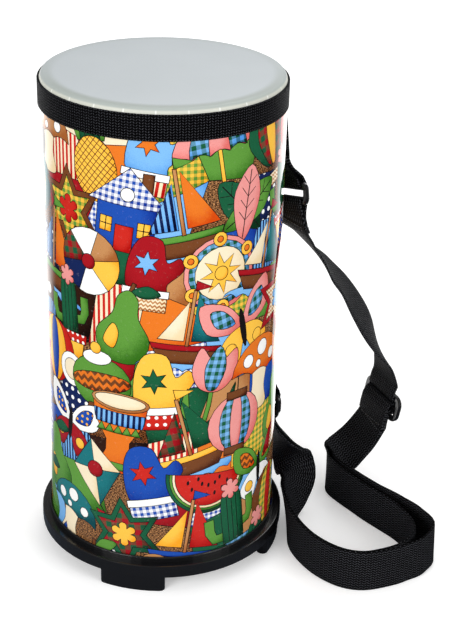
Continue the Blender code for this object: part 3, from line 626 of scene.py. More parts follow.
def cactus(a, b, c):
    yield "leaf", rod((-5, -6), (-16, -5), (-19, 2), (-19, 12), width=7)
    yield "leaf", rod((5, -1), (14, 0), (17, 6), (17, 18), width=7)
    yield "pine", mirrored((0, 32), (8, 26), (9, 0), (8, -16), (0, -18))
    for x in (-4, 0, 4):
        yield "ink", rod((x, -12), (x, 26), width=0.6)
    yield "pink", bloom(0, 32, 6, 8, 4)
    yield a, slab(15, -14, -33, 11)
    yield b, slab(16, -20, -13, 17)


def ball(a, b, c):
    yield "white", disc(0, 0, 25, count=24)
    for i, fill in enumerate((a, "white", b, c, "white", "yellow")):
        yield fill, slice_of(0, 0, 25, 60 * i, 60 * i + 60)
    yield "red", disc(0, 0, 5.5)


def pinwheel(a, b, c):
    yield "tan", rod((0, 0), (0, -38), width=2.4)
    for i in range(4):
        turn = radians(90 * i)
        yield a if i % 2 else b, turned(turn, (0, 0), (4, 26), (22, 22))
        yield c, turned(turn, (0, 0), (22, 22), (12, 8))
    yield "yellow", disc(0, 0, 4.5, count=12)


MOTIFS = [
    sunflower, goblet_drum, parasol, pear, tambourine, house, tulip, balloon, melon, guitar, daisy,
    sailboat, apple, maracas, kite, mushroom, teapot, foliage, ball, butterfly, pineapple, lantern,
    sun, cactus, citrus, mitten, pinwheel, patch_star,
]
SEED = 11
PATCH_COLUMNS, PATCH_ROWS, PATCH_SHIFT = 14, 9, 0.25
COLUMNS, ROWS, ROW_PITCH, TOP_MARGIN = 12, 9, 47.0, 14
MOTIF_SCALE, SCALE_SPREAD, TURN_SPREAD = 1.16, (0.92, 1.08), 0.24
COLUMN_SHIFT, ROW_SHIFT = 0.1, 5


class Print:
    """Coloured shapes on the unrolled sheet, each one over the ones before it."""

    def __init__(self, width, low, high):
        self.points, self.faces, self.fills, self.frames = [], [], [], []
        self.width, self.low, self.high = width, low, high
        half = width / 2
        self.shape("cream", [(-half, low), (half, low), (half, high), (-half, high)], (0, 0, 0, 1), 0)

    def shape(self, fill, points, place, line=INK_LINE):
        """Adds a shape at a place, which is (x, y, turn, scale), with a dark line round it."""
        x, y, turn, scale = place
        co, si = cos(turn) * scale, sin(turn) * scale
        spots = [(x + co * a - si * b, y + si * a + co * b) for a, b in points]
        if sum(p[0] * q[1] - q[0] * p[1] for p, q in zip(spots, spots[1:] + spots[:1])) < 0:
            spots.reverse()
        if line and fill != "ink":
            self.keep("ink", self.grown(spots, line), place, points)
        self.keep(fill, spots, place, points)

    def keep(self, fill, spots, place, points):
        self.faces.append(list(range(len(self.points), len(self.points) + len(spots))))
        self.points += [Vector(spot) for spot in spots]
        self.fills.append(fill)
        low = [min(p[k] for p in points) for k in (0, 1)]
        high = [max(p[k] for p in points) for k in (0, 1)]
        self.frames.append((*place, (low[0] + high[0]) / 2, (low[1] + high[1]) / 2,
                            (high[0] - low[0]) / 2, (high[1] - low[1]) / 2))

    @staticmethod
    def grown(spots, reach):
        """Outline moved outwards, with its sharp corners kept short."""
        made = []
        for before, here, after in zip(spots[-1:] + spots[:-1], spots, spots[1:] + spots[:1]):
            first, second = Vector(here) - Vector(before), Vector(after) - Vector(here)
            first.normalize()
            second.normalize()
            out = Vector((first.y + second.y, -first.x - second.x))
            made.append(tuple(Vector(here) + out * reach * 2 / max(SHARPEST, out.length_squared)))
        return made


def crowd():
    """The whole print: a quilt of patches, then rows of motifs from the top down."""
    chance = Random(SEED)
    width = 2 * pi * WRAP_RADIUS / MM
    low, high = WRAP_LOW / MM, WRAP_HIGH / MM
    sheet = Print(width, low, high)
    spread = (width / PATCH_COLUMNS, (high - low) / PATCH_ROWS)
    corner = {}
    for i in range(PATCH_COLUMNS + 1):
        for j in range(PATCH_ROWS + 1):
            corner[i, j] = (-width / 2 + spread[0] * (i + chance.uniform(-PATCH_SHIFT, PATCH_SHIFT)),
                            low + spread[1] * (j + chance.uniform(-PATCH_SHIFT, PATCH_SHIFT)))
    for i in range(PATCH_COLUMNS):
        for j in range(PATCH_ROWS):
            spots = [corner[i, j], corner[i + 1, j], corner[i + 1, j + 1], corner[i, j + 1]]
            middle = (sum(p[0] for p in spots) / 4, sum(p[1] for p in spots) / 4)
            local = [(p[0] - middle[0], p[1] - middle[1]) for p in spots]
            sheet.shape(GROUND[(5 * i + 7 * j) % len(GROUND)], local, (*middle, 0, 1))
    for row in range(ROWS):
        for column in range(COLUMNS):
            index = (column * 5 + row * 9 + column * row) % len(MOTIFS)
            trio = TRIOS[(column * 4 + row * 7 + row * column) % len(TRIOS)]
            across = column + 0.5 * (row % 2) + 0.25 + chance.uniform(-COLUMN_SHIFT, COLUMN_SHIFT)
            x = -width / 2 + width / COLUMNS * across
            y = high - TOP_MARGIN - ROW_PITCH * row + chance.uniform(-ROW_SHIFT, ROW_SHIFT)
            turn = chance.uniform(-TURN_SPREAD, TURN_SPREAD)
            place = (x, y, turn, MOTIF_SCALE * chance.uniform(*SCALE_SPREAD))
            for fill, points in MOTIFS[index](*trio):
                sheet.shape(fill, points, place)
    return sheet


def pattern(tree, kind, pitch):
    """1 where a pattern has its second colour, 0 where it has its first."""
    u, v = tree.uv()
    wave = 2 * pi / pitch

    def bars(place):
        return tree.less(tree.math("SINE", tree.mul(place, wave)), 0.0)

    if kind == "stripe":
        return bars(u)
    if kind == "gingham":
        return tree.mul(tree.add(bars(u), bars(v)), 0.5)
    if kind == "zigzag":
        return bars(tree.add(v, tree.math("PINGPONG", u, pitch / 2)))
    if kind == "hatch":
        waves = [tree.math("SINE", tree.mul(way(u, v), wave / 2)) for way in (tree.add, tree.sub)]
        lines = [tree.less(tree.math("ABSOLUTE", swing), HATCH_LINE) for swing in waves]
        return tree.math("MAXIMUM", *lines)
    if kind == "fur":
        hair = tree.noise((tree.mul(u, 1.0 / pitch), tree.mul(v, 3.0 / pitch)), 1.0, 4.0)
        return tree.soft(hair, *FUR_EDGE)
    du, dv = [tree.sub(tree.math("FRACT", tree.mul(part, 1 / pitch)), 0.5) for part in (u, v)]
    return tree.less(tree.squares(du, dv), DOT_AREA)


def print_fill(name):
    """Printed colour under a clear coat, with painted edges and the pattern of its name."""
    base, second, kind, pitch = PATTERNS.get(name, (name, "ink", "", 1.0))
    tree = Tree("print_" + name)
    colour = INKS[base]
    if kind:
        colour = tree.mix(pattern(tree, kind, pitch), colour, INKS[second])
    if name != "ink":
        form = tree.nodes.new("ShaderNodeUVMap")
        form.uv_map = "Form"
        x, y = list(tree.split(form.outputs[0]))[:2]
        along, up, _ = tree.unrolled()
        wash = tree.noise((along, up), 0.30, 5.0)
        stipple = tree.noise((along, up), 1.5, 2.0)
        deep = tree.nodes.new("ShaderNodeGamma")
        tree.put(deep.inputs[0], colour)
        deep.inputs[1].default_value = DEEPENING
        reach = tree.squares(tree.sub(x, LIT_SIDE[0]), tree.sub(y, LIT_SIDE[1]))
        shade = tree.soft(tree.add(reach, tree.add(wash, stipple)), *SHADE_EDGE)
        colour = tree.mix(tree.mul(shade, SHADE_DEPTH), colour, deep.outputs[0])
        specks = tree.mul(tree.soft(stipple, *STIPPLE_EDGE), STIPPLE_DEPTH)
        colour = tree.mix(specks, colour, deep.outputs[0])
        light = tree.soft(tree.add(wash, tree.mul(stipple, STIPPLE_SHARE)), *WASH_EDGE)
        colour = tree.mix(tree.mul(light, WASH_DEPTH), colour, WASH_TINT)
    return tree.finish(Base_Color=colour, Roughness=0.5, Coat_Weight=1.0, Coat_Roughness=0.03,
                       Coat_IOR=COAT_IOR, Specular_IOR_Level=0.0)


def add_wrap():
    """Rolls the print into the wrap's outer face, and turns its free edges in to the shell."""
    sheet = crowd()
    half = sheet.width / 2
    edges = []
    for k in range(1, FACETS):
        x = -half + sheet.width * k / FACETS
        sheet.points += [Vector((x, sheet.low)), Vector((x, sheet.high))]
        edges.append((len(sheet.points) - 2, len(sheet.points) - 1))
    cut = delaunay_2d_cdt(sheet.points, edges, sheet.faces, 1, SAME_POINT, True)
    spots, _, faces, _, _, sources = cut
    names = sorted(set(sheet.fills))
    kept = [(face, max(source)) for face, source in zip(faces, sources) if 0 in source]
    gap = SEAM_GAP / WRAP_RADIUS / 2
    rolled = []
    for x, y in spots:
        turn = radians(SEAM_AZIMUTH) + pi + x / half * (pi - gap)
        rolled.append((WRAP_RADIUS * sin(turn), -WRAP_RADIUS * cos(turn), y * MM))
    mesh = bpy.data.meshes.new("wrap_print")
    mesh.from_pydata(rolled, [], [face for face, _ in kept])
    local, form = mesh.uv_layers.new(name="UVMap"), mesh.uv_layers.new(name="Form")
    for polygon, (face, top) in zip(mesh.polygons, kept):
        polygon.material_index = names.index(sheet.fills[top])
        x, y, turn, scale, middle_x, middle_y, half_x, half_y = sheet.frames[top]
        for loop, corner in zip(polygon.loop_indices, face):
            du, dv = spots[corner][0] - x, spots[corner][1] - y
            u = (du * cos(turn) + dv * sin(turn)) / scale
            v = (dv * cos(turn) - du * sin(turn)) / scale
            local.data[loop].uv = (u * MM, v * MM)
            form.data[loop].uv = ((u - middle_x) / half_x, (v - middle_y) / half_y)
    bm = bmesh.new()
    bm.from_mesh(mesh)
    bmesh.ops.delete(bm, geom=[v for v in bm.verts if not v.link_faces], context="VERTS")
    rim = [edge for edge in bm.edges if edge.is_boundary]
    made = bmesh.ops.extrude_edge_only(bm, edges=rim)["geom"]
    for vert in (item for item in made if isinstance(item, bmesh.types.BMVert)):
        vert.co.xy *= 1 - WRAP_THICKNESS / WRAP_RADIUS
    bm.to_mesh(mesh)
    bm.free()
    mesh.shade_smooth()
    outward = [Vector((v.co.x, v.co.y, 0)).normalized() for v in mesh.vertices]
    mesh.normals_split_custom_set_from_vertices(outward)
    item = placed("wrap_print", mesh, *[print_fill(name) for name in names])
    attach(item, "drum")
    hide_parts("printed_wrap")
    print("wrap_print triangles", len(mesh.polygons))


# The head and its band

FILM_RADIUS = 95.8 * MM
FILM_FLAT = 91.6 * MM
FILM_ROUND = 4.7 * MM
HEAD_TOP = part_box("drum_head")[1].z
HEAD_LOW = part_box("drum_head")[0].z
BAND_RADIUS = 97.6 * MM
BAND_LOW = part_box("head_band")[0].z
BAND_SET_BACK = 1.3 * MM
BAND_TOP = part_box("head_band")[1].z - BAND_SET_BACK
BAND_EDGE = 0.45 * MM
FILM_SKIN, BAND_INSIDE, HEAD_BENDS = 0.4 * MM, FILM_RADIUS + 0.1 * MM, 9
SIDES, SHARP = 180, radians(40)
PLEAT, PLEAT_EDGE = 24.0, (0.035, 0.015)
# The front side and share, the ring and the film's darker edge colour below paint shade in a ring inside the
# rim, deepest at the front.
FRONT_SHADE_SIDE, FRONT_SHADE_SHARE, SHADED_RING, GLUE_LINE = (30.0, -60.0), 0.75, (83.0, 90.5), (1.3, 2.6)
FILM_FREE = ((0.525, 0.565, 0.585), (0.56, 0.60, 0.62))
FILM_GRAIN, FILM_EDGE_SHADE = (0.47, 0.51, 0.53), (0.39, 0.43, 0.405)
GLUED_PLEAT, GLUED, GLUED_GRAIN = (0.58, 0.59, 0.52), (0.78, 0.79, 0.74), (0.48, 0.49, 0.43)


def lathe(name, profile, material, node):
    """Closed ring or disc turned from (radius, height) points, in the place of a node."""
    bm = bmesh.new()
    turns = [2 * pi * i / SIDES for i in range(SIDES)]
    rings = [[bm.verts.new((radius * sin(a), -radius * cos(a), height)) for a in turns]
             for radius, height in profile]
    closed = profile[0][0] > FILM_FLAT
    for low, high in zip(rings, rings[1:] + rings[:closed]):
        for i in range(SIDES):
            j = (i + 1) % SIDES
            bm.faces.new((low[i], low[j], high[j], high[i]))
    if not closed:
        bm.faces.new(rings[0])
        bm.faces.new(rings[-1])
    bmesh.ops.recalc_face_normals(bm, faces=bm.faces)
    mesh = mesh_of(name, bm)
    mesh.shade_smooth()
    mesh.set_sharp_from_angle(angle=SHARP)
    item = placed(name, mesh, material)
    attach(item, "drum")
    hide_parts(node)


def add_head():
    """Film over the rounded rim, and the woven band round its edge."""
    bends = [radians(90 * i / HEAD_BENDS) for i in range(HEAD_BENDS + 1)]

    def shoulder(skin):
        reach, drop = FILM_RADIUS - FILM_FLAT - skin, FILM_ROUND - skin
        return [(FILM_FLAT + reach * sin(a), HEAD_TOP - skin - drop * (1 - cos(a))) for a in bends]

    profile = [(FILM_FLAT / 2, HEAD_TOP)] + shoulder(0) + [(FILM_RADIUS, HEAD_LOW)]
    profile += [(FILM_RADIUS - FILM_SKIN, HEAD_LOW)] + shoulder(FILM_SKIN)[::-1]
    profile += [(FILM_FLAT / 2, HEAD_TOP - FILM_SKIN)]
    lathe("film_head", profile, film_material(), "drum_head")
    edge = BAND_RADIUS - BAND_EDGE
    band = [(BAND_INSIDE, BAND_LOW), (edge, BAND_LOW), (BAND_RADIUS, BAND_LOW + BAND_EDGE)]
    band += [(BAND_RADIUS, BAND_TOP - BAND_EDGE), (edge, BAND_TOP), (BAND_INSIDE, BAND_TOP)]
    lathe("woven_band", band, band_material(), "head_band")


def film_material():
    """Coated film: milky where it is free, with painted shade in a darker ring just inside the rim that is
    deepest at the front, and paler where it is glued over the tube's edge.
    """
    tree = Tree("head_film")
    x, y, z = tree.place()
    along, _, reach = tree.unrolled()
    grain = tree.noise((x, y, z), 2.4, 4.0)
    field = tree.mix(tree.noise((x, y, z), 0.03, 2.0), *FILM_FREE)
    field = tree.mix(tree.mul(tree.soft(grain, 0.3, 0.75), 0.25), field, FILM_GRAIN)
    # Painted shade: a darker ring just inside the rim, stronger towards the front of the head.
    front = tree.add(1 - FRONT_SHADE_SHARE, tree.mul(tree.soft(y, *FRONT_SHADE_SIDE), FRONT_SHADE_SHARE))
    edge = tree.soft(tree.add(reach, tree.mul(tree.sub(grain, 0.5), 4.0)), *SHADED_RING)
    colour = tree.mix(tree.mul(edge, front), field, FILM_EDGE_SHADE)
    fold = tree.math("ABSOLUTE", tree.sub(tree.math("FRACT", tree.mul(along, 1 / PLEAT)), 0.5))
    pale = tree.mix(tree.soft(fold, *PLEAT_EDGE), GLUED_PLEAT, GLUED)
    pale = tree.mix(tree.mul(tree.soft(grain, 0.45, 0.65), 0.3), pale, GLUED_GRAIN)
    fall = tree.sub(HEAD_TOP / MM, z)
    glued = tree.soft(tree.add(fall, tree.mul(grain, 0.5)), *GLUE_LINE)
    tree.bump(grain, 0.00006)
    return tree.finish(Base_Color=tree.mix(glued, colour, pale), Roughness=0.48, Specular_IOR_Level=0.4)


# Woven black, moulded black, board and steel

# Yarn tones: painted shade in the hollows between the yarns and painted highlights on their tops.
YARN_PAINTED_SHADE, YARN_DEPTH, YARN_HIGHLIGHT_EDGE = (0.0004, 0.0004, 0.0006), 0.0004, (0.72, 1.10)
WEBBING_HIGHLIGHT, BAND_HIGHLIGHT = (0.068, 0.070, 0.079), (0.066, 0.068, 0.078)
THREADS = ((0.010, 0.010, 0.011), (0.075, 0.075, 0.080))
MOULDED, MOULDED_ROUGHNESS = (0.0045, 0.0045, 0.005), 0.16
FIBRES, LAYERS = ((0.50, 0.38, 0.24), (0.66, 0.54, 0.38)), (0.40, 0.29, 0.18)
STEELS = ((0.52, 0.53, 0.55), (0.66, 0.66, 0.67))


def woven_material(tree, along, across, row, rib, light):
    """Columns across the webbing, of short yarns that slant to and fro, with painted highlights on the yarn
    tops and painted shade in the hollows between them.
    """
    ribs = tree.math("ABSOLUTE", tree.math("SINE", tree.mul(along, pi / YARN_COLUMN)))
    slant = tree.add(across, tree.mul(tree.math("PINGPONG", along, YARN_COLUMN), YARN_SLANT))
    rows = tree.math("ABSOLUTE", tree.math("SINE", tree.mul(slant, pi / row)))
    height = tree.mul(tree.add(1.0 - rib, tree.mul(ribs, rib)), rows)
    fuzz = tree.noise((along, across), 1.7, 4.0)
    # Painted light: the yarn tops are coloured lighter as a highlight and the hollows between them darker as
    # shade.
    painted_highlight = tree.soft(tree.mul(height, tree.add(0.5, fuzz)), *YARN_HIGHLIGHT_EDGE)
    tree.bump(height, YARN_DEPTH)
    return tree.finish(Base_Color=tree.mix(painted_highlight, YARN_PAINTED_SHADE, light), Roughness=0.62,
                       Specular_IOR_Level=0.03)


def webbing_material():
    tree = Tree("webbing")
    return woven_material(tree, *tree.uv(), WEBBING_ROW, WEBBING_RIB, WEBBING_HIGHLIGHT)


def band_material():
    tree = Tree("head_band")
    return woven_material(tree, *tree.unrolled()[:2], BAND_ROW, BAND_RIB, BAND_HIGHLIGHT)


def thread_material():
    tree = Tree("thread")
    grain = tree.noise(tree.place(), 2.2, 3.0)
    return tree.finish(Base_Color=tree.mix(grain, *THREADS), Roughness=0.45)


def moulded_material():
    tree = Tree("moulded_black")
    grain = tree.noise(tree.place(), 3.1, 3.0)
    shade = tree.mix(grain, MOULDED, tuple(1.5 * part for part in MOULDED))
    tree.bump(grain, 0.00003)
    rough = tree.add(MOULDED_ROUGHNESS, tree.mul(grain, 0.08))
    return tree.finish(Base_Color=shade, Roughness=rough, Specular_IOR_Level=0.5)


def fibre_material():
    tree = Tree("fibre_tube")
    along, up, reach = tree.unrolled()
    layers = tree.math("SINE", tree.mul(reach, 9.0))
    grain = tree.noise((tree.mul(along, 0.2), up), 0.8, 4.0)
    colour = tree.mix(tree.mul(tree.soft(layers, 0.0, 1.0), 0.25), tree.mix(grain, *FIBRES), LAYERS)
    tree.bump(grain, 0.0001)
    return tree.finish(Base_Color=colour, Roughness=0.8)


def steel_material():
    tree = Tree("plated_steel")
    grain = tree.noise(tree.place(), 1.3, 3.0)
    rough = tree.add(0.22, tree.mul(grain, 0.15))
    return tree.finish(Base_Color=tree.mix(grain, *STEELS), Roughness=rough, Metallic=1.0)


# The strap

def smooth_step(value):
    value = min(1.0, max(0.0, value))
    return value * value * (3 - 2 * value)


def catmull_rom(points, part):
    a, b, c, d = (Vector(p) for p in points)
    square, cube = part * part, part * part * part
    return 0.5 * (2 * b + (c - a) * part + (2 * a - 5 * b + 4 * c - d) * square
                  + (3 * b - a - 3 * c + d) * cube)


class Strip:
    """The strap's middle line, with the direction across the webbing at each place."""

    def __init__(self, points, start, end):
        self.samples = []
        for i in range(1, len(points) - 2):
            for k in range(SPAN_STEPS + (i == len(points) - 3)):
                four = points[i - 1:i + 3]
                spot = [catmull_rom([p[part] for p in four], k / SPAN_STEPS) for part in (0, 1)]
                self.samples.append(tuple(spot))
        self.lengths = [0.0]
        for (one, _), (two, _) in zip(self.samples, self.samples[1:]):
            self.lengths.append(self.lengths[-1] + (two - one).length)
        self.start, self.end = start.normalized(), end.normalized()
        self.length = self.lengths[-1]

    def point(self, s):
        if s <= 0:
            return self.samples[0][0] + self.start * s, self.samples[0][1]
        if s >= self.length:
            return self.samples[-1][0] + self.end * (s - self.length), self.samples[-1][1]
        k = next(i for i, reach in enumerate(self.lengths) if reach >= s)
        part = (s - self.lengths[k - 1]) / (self.lengths[k] - self.lengths[k - 1])
        one, two = self.samples[k - 1], self.samples[k]
        return one[0].lerp(two[0], part), one[1].lerp(two[1], part)

    def frame(self, s):
        place, across = self.point(s)
        down = (self.point(s + MM)[0] - self.point(s - MM)[0]).normalized()
        across = (across - down * across.dot(down)).normalized()
        return place, down, across, across.cross(down)

    def nearest(self, place):
        distances = [(spot - place).length for spot, _ in self.samples]
        return self.lengths[distances.index(min(distances))]


def tab_frame(tab):
    turn = radians(tab["azimuth"])
    place = Matrix.Translation((WRAP_RADIUS * sin(turn), -WRAP_RADIUS * cos(turn), tab["screw_z"]))
    facing = Matrix.Rotation(radians(tab["azimuth"] - 90), 4, "Z")
    return place @ facing @ Matrix.Rotation(-radians(tab["lean"]), 4, "X")


def loop_frame(tab):
    bar = Matrix.Translation((TAB_MIDDLE + tab["stand_off"], 0, -TAB_DROP))
    return tab_frame(tab) @ bar @ Matrix.Rotation(radians(tab["turn"]), 4, "Z")


def slider_frame():
    across = (SLIDER_ACROSS - SLIDER_DOWN * SLIDER_ACROSS.dot(SLIDER_DOWN)).normalized()
    rows = Matrix((across, -SLIDER_DOWN, across.cross(-SLIDER_DOWN)))
    return Matrix.Translation(SLIDER_AT) @ rows.transposed().to_4x4()


def strap_strip():
    upper, lower = loop_frame(UPPER_TAB), loop_frame(LOWER_TAB)
    up = (upper.to_3x3().col[2], lower.to_3x3().col[2])
    across = (upper.to_3x3().col[1], lower.to_3x3().col[1])
    first = upper.translation - up[0] * LOOP_BAR_DISTANCE
    last = lower.translation - up[1] * LOOP_BAR_DISTANCE
    side = slider_frame().to_3x3().col[0]
    points = [(first - up[0] * reach, across[0]) for reach in (-LOOP_LEAD, 0, LOOP_LEAD)]
    points += [(Vector(row[:3]) * MM, Vector(row[3:]).normalized()) for row in UPPER_RUN]
    reaches = (-SLIDER_LEAD, -SLIDER_REACH, SLIDER_REACH, SLIDER_LEAD)
    points += [(SLIDER_AT + SLIDER_DOWN * reach, side) for reach in reaches]
    points += [(Vector(row[:3]) * MM, Vector(row[3:6]).normalized()) for row in DOUBLED_RUN]
    points += [(last + up[1] * reach, across[1]) for reach in (-LOOP_LEAD, 0, LOOP_LEAD)]
    return Strip(points, -up[0], up[1])


def run_path(start, end, height, step=4 * MM):
    count = max(1, ceil(abs(end - start) / step))
    spots = [start + (end - start) * i / count for i in range(count + 1)]
    return [(s, height(s)) for s in spots]


def fold_path(s, from_side, past_end, count=12):
    turns = [from_side * 90 * (1 - 2 * i / count) for i in range(1, count)]
    return [(s + past_end * FOLD_RADIUS * cos(radians(a)), FOLD_RADIUS * sin(radians(a))) for a in turns]


def fold_height(distance):
    return LAYER / 2 + (FOLD_RADIUS - LAYER / 2) * (1 - smooth_step(distance / FOLD_TAPER))


def rounded_path(points, radius, steps=5):
    path = [points[0]]
    for before, corner, after in zip(points, points[1:], points[2:]):
        corner = Vector(corner)
        leave, arrive = (Vector(after) - corner), (Vector(before) - corner)
        reach = min(radius, leave.length / 2, arrive.length / 2)
        start, end = corner + arrive.normalized() * reach, corner + leave.normalized() * reach
        for i in range(steps + 1):
            part = i / steps
            path.append(tuple(start.lerp(corner, part).lerp(corner.lerp(end, part), part)))
    return path + [points[-1]]


def section():
    """Outline of the webbing's section as (across, out), with rounded selvedges."""
    half, thick = WEBBING_WIDTH / 2, HALF_THICKNESS
    flat = 2 * half - thick
    flats = [-half + 0.5 * thick + flat * i / FLAT_STEPS for i in range(FLAT_STEPS + 1)]
    top = [(across, thick) for across in flats]
    inset, drop = SELVEDGE[0] * thick, SELVEDGE[1] * thick
    right = [(half - inset, drop), (half, 0.0), (half - inset, -drop)]
    low = [(across, -thick) for across in reversed(flats)]
    left = [(-a, -b) for a, b in right]
    return top + right + low + left


def ribbon(name, strip, path, material):
    """Webbing along a path of (s, height) points, as a closed mesh with its length as U."""
    outline = section()
    count = len(outline)
    bm = bmesh.new()
    layer = bm.loops.layers.uv.new("UVMap")
    rows, centres, reach, before_place = [], [], 0.0, None
    for i, (s, height) in enumerate(path):
        before, after = path[max(0, i - 1)], path[min(len(path) - 1, i + 1)]
        along, rise = after[0] - before[0], after[1] - before[1]
        place, down, across, face = strip.frame(s)
        out = (face * along - down * rise).normalized()
        middle = place + face * height
        if before_place is not None:
            reach += (middle - before_place).length
        before_place = middle
        centres.append(middle)
        rows.append((reach, [bm.verts.new(middle + across * a + out * b) for a, b in outline]))
    for (low_u, low), (high_u, high) in zip(rows, rows[1:]):
        for k in range(count):
            j = (k + 1) % count
            made = bm.faces.new((low[k], low[j], high[j], high[k]))
            made.smooth = True
            spots = ((low_u, k), (low_u, j), (high_u, j), (high_u, k))
            for corner, (u, index) in zip(made.loops, spots):
                corner[layer].uv = (u, outline[index][0] + WEBBING_WIDTH / 2)
    bm.faces.new(rows[0][1])
    bm.faces.new(rows[-1][1])
    bmesh.ops.recalc_face_normals(bm, faces=bm.faces)
    item = placed(name, mesh_of(name, bm), material)
    return item, centres, reach


def frame_at(strip, s, height):
    """Place on a face of the webbing, with the directions across it and along it."""
    place, down, across, face = strip.frame(s)
    return place + face * height, across, down


def stitches(name, body, seams):
    """Rows of thread across the webbing, each one from a (place, across, along) of its middle."""
    bm = bmesh.new()
    shape = Matrix.Diagonal((STITCH_LENGTH / 2, STITCH_WIDTH / 2, STITCH_WIDTH / 3, 1.0))
    for place, across, along in seams:
        turn = Matrix((across, along, across.cross(along))).transposed().to_4x4()
        for k in range(-STITCH_COUNT, STITCH_COUNT + 1):
            spot = Matrix.Translation(place + across * k * STITCH_PITCH)
            bmesh.ops.create_icosphere(bm, subdivisions=1, radius=1.0, matrix=spot @ turn @ shape)
    mesh = mesh_of(name, bm)
    mesh.shade_smooth()
    item = placed(name, mesh, thread_material())
    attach(item, body)


def add_tab_stitches():
    """Two seams across each tab, below its screw."""
    for side, tab in (("upper", UPPER_TAB), ("lower", LOWER_TAB)):
        frame_of = tab_frame(tab)
        skin = TAB_MIDDLE + LAYER / 2 + HALF_THICKNESS
        turn = frame_of.to_3x3()
        seams = [(frame_of @ Vector((skin, 0, -drop)), turn.col[1], turn.col[2]) for drop in TAB_SEAMS]
        stitches(side + "_tab_seam", "drum", seams)


def add_strap(material):
    """The one length of webbing in five pieces, which meet where no joint moves them."""
    strip = strap_strip()
    middle, end = strip.nearest(SLIDER_AT), strip.length
    clear = SLIDER_THICKNESS / 2 + TOUCH + HALF_THICKNESS
    bar = SLIDER_MIDDLE_BAR / 2 + TOUCH + HALF_THICKNESS
    slot = SLIDER_MIDDLE_BAR / 2 + SLIDER_SLOT - TOUCH - HALF_THICKNESS
    over = SLIDER_REACH - MM
    gaps = [(strip.nearest(Vector(row[:3]) * MM), row[6] * MM) for row in DOUBLED_RUN]
    gaps += [(end - FOLD_TAPER, LAYER / 2), (end, FOLD_RADIUS)]

    def half_gap(s):
        spots = [(middle + over, LAYER / 2)] + gaps
        for (one, a), (two, b) in zip(spots, spots[1:]):
            if s <= two:
                return a + (b - a) * smooth_step((s - one) / (two - one))
        return FOLD_RADIUS

    def single(s):
        leave = 1 - smooth_step((s - SEWN_END) / FOLD_TAPER)
        arrive = smooth_step((s - middle + over + 3 * FOLD_TAPER) / (3 * FOLD_TAPER))
        return fold_height(s) * leave + clear * arrive

    def settle(s):
        return 1 - smooth_step((s - middle - over) / (4 * FOLD_TAPER))

    def running(s):
        return -half_gap(s) + (clear + LAYER / 2) * settle(s)

    def returning(s):
        return half_gap(s) + (clear + LAYER * 1.5) * settle(s)

    def shifted(points):
        return [(middle + s, height) for s, height in points]

    outer, dip = slot + CROSSING_SLANT, slot - CROSSING_LEAN
    crossing = rounded_path([(-over, clear), (-outer, clear), (-dip, -clear - LAYER),
                             (dip, -clear - LAYER), (outer, clear), (over, clear)], CROSSING_ROUND)
    wrap = [(over, clear + 2 * LAYER), (bar - WRAP_SET_IN, clear + 2 * LAYER),
            (-bar, clear + WRAP_CORNER), (-bar, -clear), (bar, -clear), (bar, clear + LAYER),
            (over, clear + LAYER)]
    half = len(crossing) // 2
    upper_fold = run_path(SEWN_END, 0, lambda s: -fold_height(s)) + fold_path(0, -1, -1)
    upper_fold += run_path(0, JOIN, single)
    upper = run_path(JOIN, middle - over, single)[:-1] + shifted(crossing[:half + 1])
    run = shifted(crossing[half:]) + run_path(middle + over, end - JOIN, running)[1:]
    lower_fold = run_path(end - JOIN, end, running) + fold_path(end, -1, 1)
    lower_fold += run_path(end, end - JOIN, returning)
    back = run_path(end - JOIN, middle + over, returning)[:-1]
    back += shifted(rounded_path(wrap, WRAP_ROUND))
    back += run_path(middle + over, middle + over + RETURN_END, lambda s: running(s) + LAYER)[1:]
    made = {}
    for name, path in (("strap_upper_fold", upper_fold), ("strap_upper", upper), ("strap_running", run),
                       ("strap_lower_fold", lower_fold), ("strap_return", back)):
        made[name] = ribbon(name, strip, path, material)
        print(name, "length", round(made[name][2], 4))
    at = [strip.point(s)[0] for s in (0.0, JOIN, middle - BEND_REACH, middle - 2 * over,
                                      middle + 2 * over, middle + BEND_REACH, end - JOIN, end)]
    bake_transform(made["strap_upper_fold"][0])
    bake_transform(made["strap_upper"][0])
    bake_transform(made["strap_running"][0])
    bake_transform(made["strap_return"][0])
    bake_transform(made["strap_lower_fold"][0])
    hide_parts("shoulder_strap")
    skin = LAYER / 2 + HALF_THICKNESS
    seams = [frame_at(strip, s, side * skin) for s in LOOP_SEAMS for side in (1, -1)]
    stitches("strap_seam_upper", "drum", seams)
    places = [middle + over + reach for reach in SLIDER_SEAMS]
    seams = [frame_at(strip, s, returning(s) + HALF_THICKNESS) for s in places]
    stitches("strap_seam_slider", "slider", seams)


# The studio

WORLD_LIGHT, WORLD_GLOSS = 0.50, 0.25
FLOOR_REACH = 6.0
FLOOR_TONES, FLOOR_IN_VIEW = ((0.64, 0.64, 0.64), (0.66, 0.66, 0.66)), (0.90, 0.90, 0.90)
FRONT_TONES, FRONT_FADE = ((0.03, 0.03, 0.035), (0.11, 0.13, 0.17)), (420.0, 150.0)
BACK_TONE, BACK_SIDE = (0.98, 0.98, 0.98), (0.45, 0.90)
FLOOR_GLOW, FAR_GLOW, FAR_FADE = 0.28, 0.7, (800.0, 3000.0)
# Painted reflection: on both sides behind the drum the floor glows, in reflections only.
REFLECTION_GLOW, REFLECTION_SIDE, REFLECTION_MIDDLE = 1.5, (0.42, 0.82), (0.999, 0.985)
LAMPS = (
    ("left_light", (-1.5, -1.6, 1.0), 1.2, 34.0),
    ("right_light", (1.6, -1.3, 0.9), 1.2, 24.0),
    ("back_light", (0.5, 1.5, 1.9), 1.2, 14.0),
    ("top_light", (0.2, 0.3, 2.2), 1.8, 5.0),
)
LAMP_AIM = Vector((0.05, 0, 0.2))


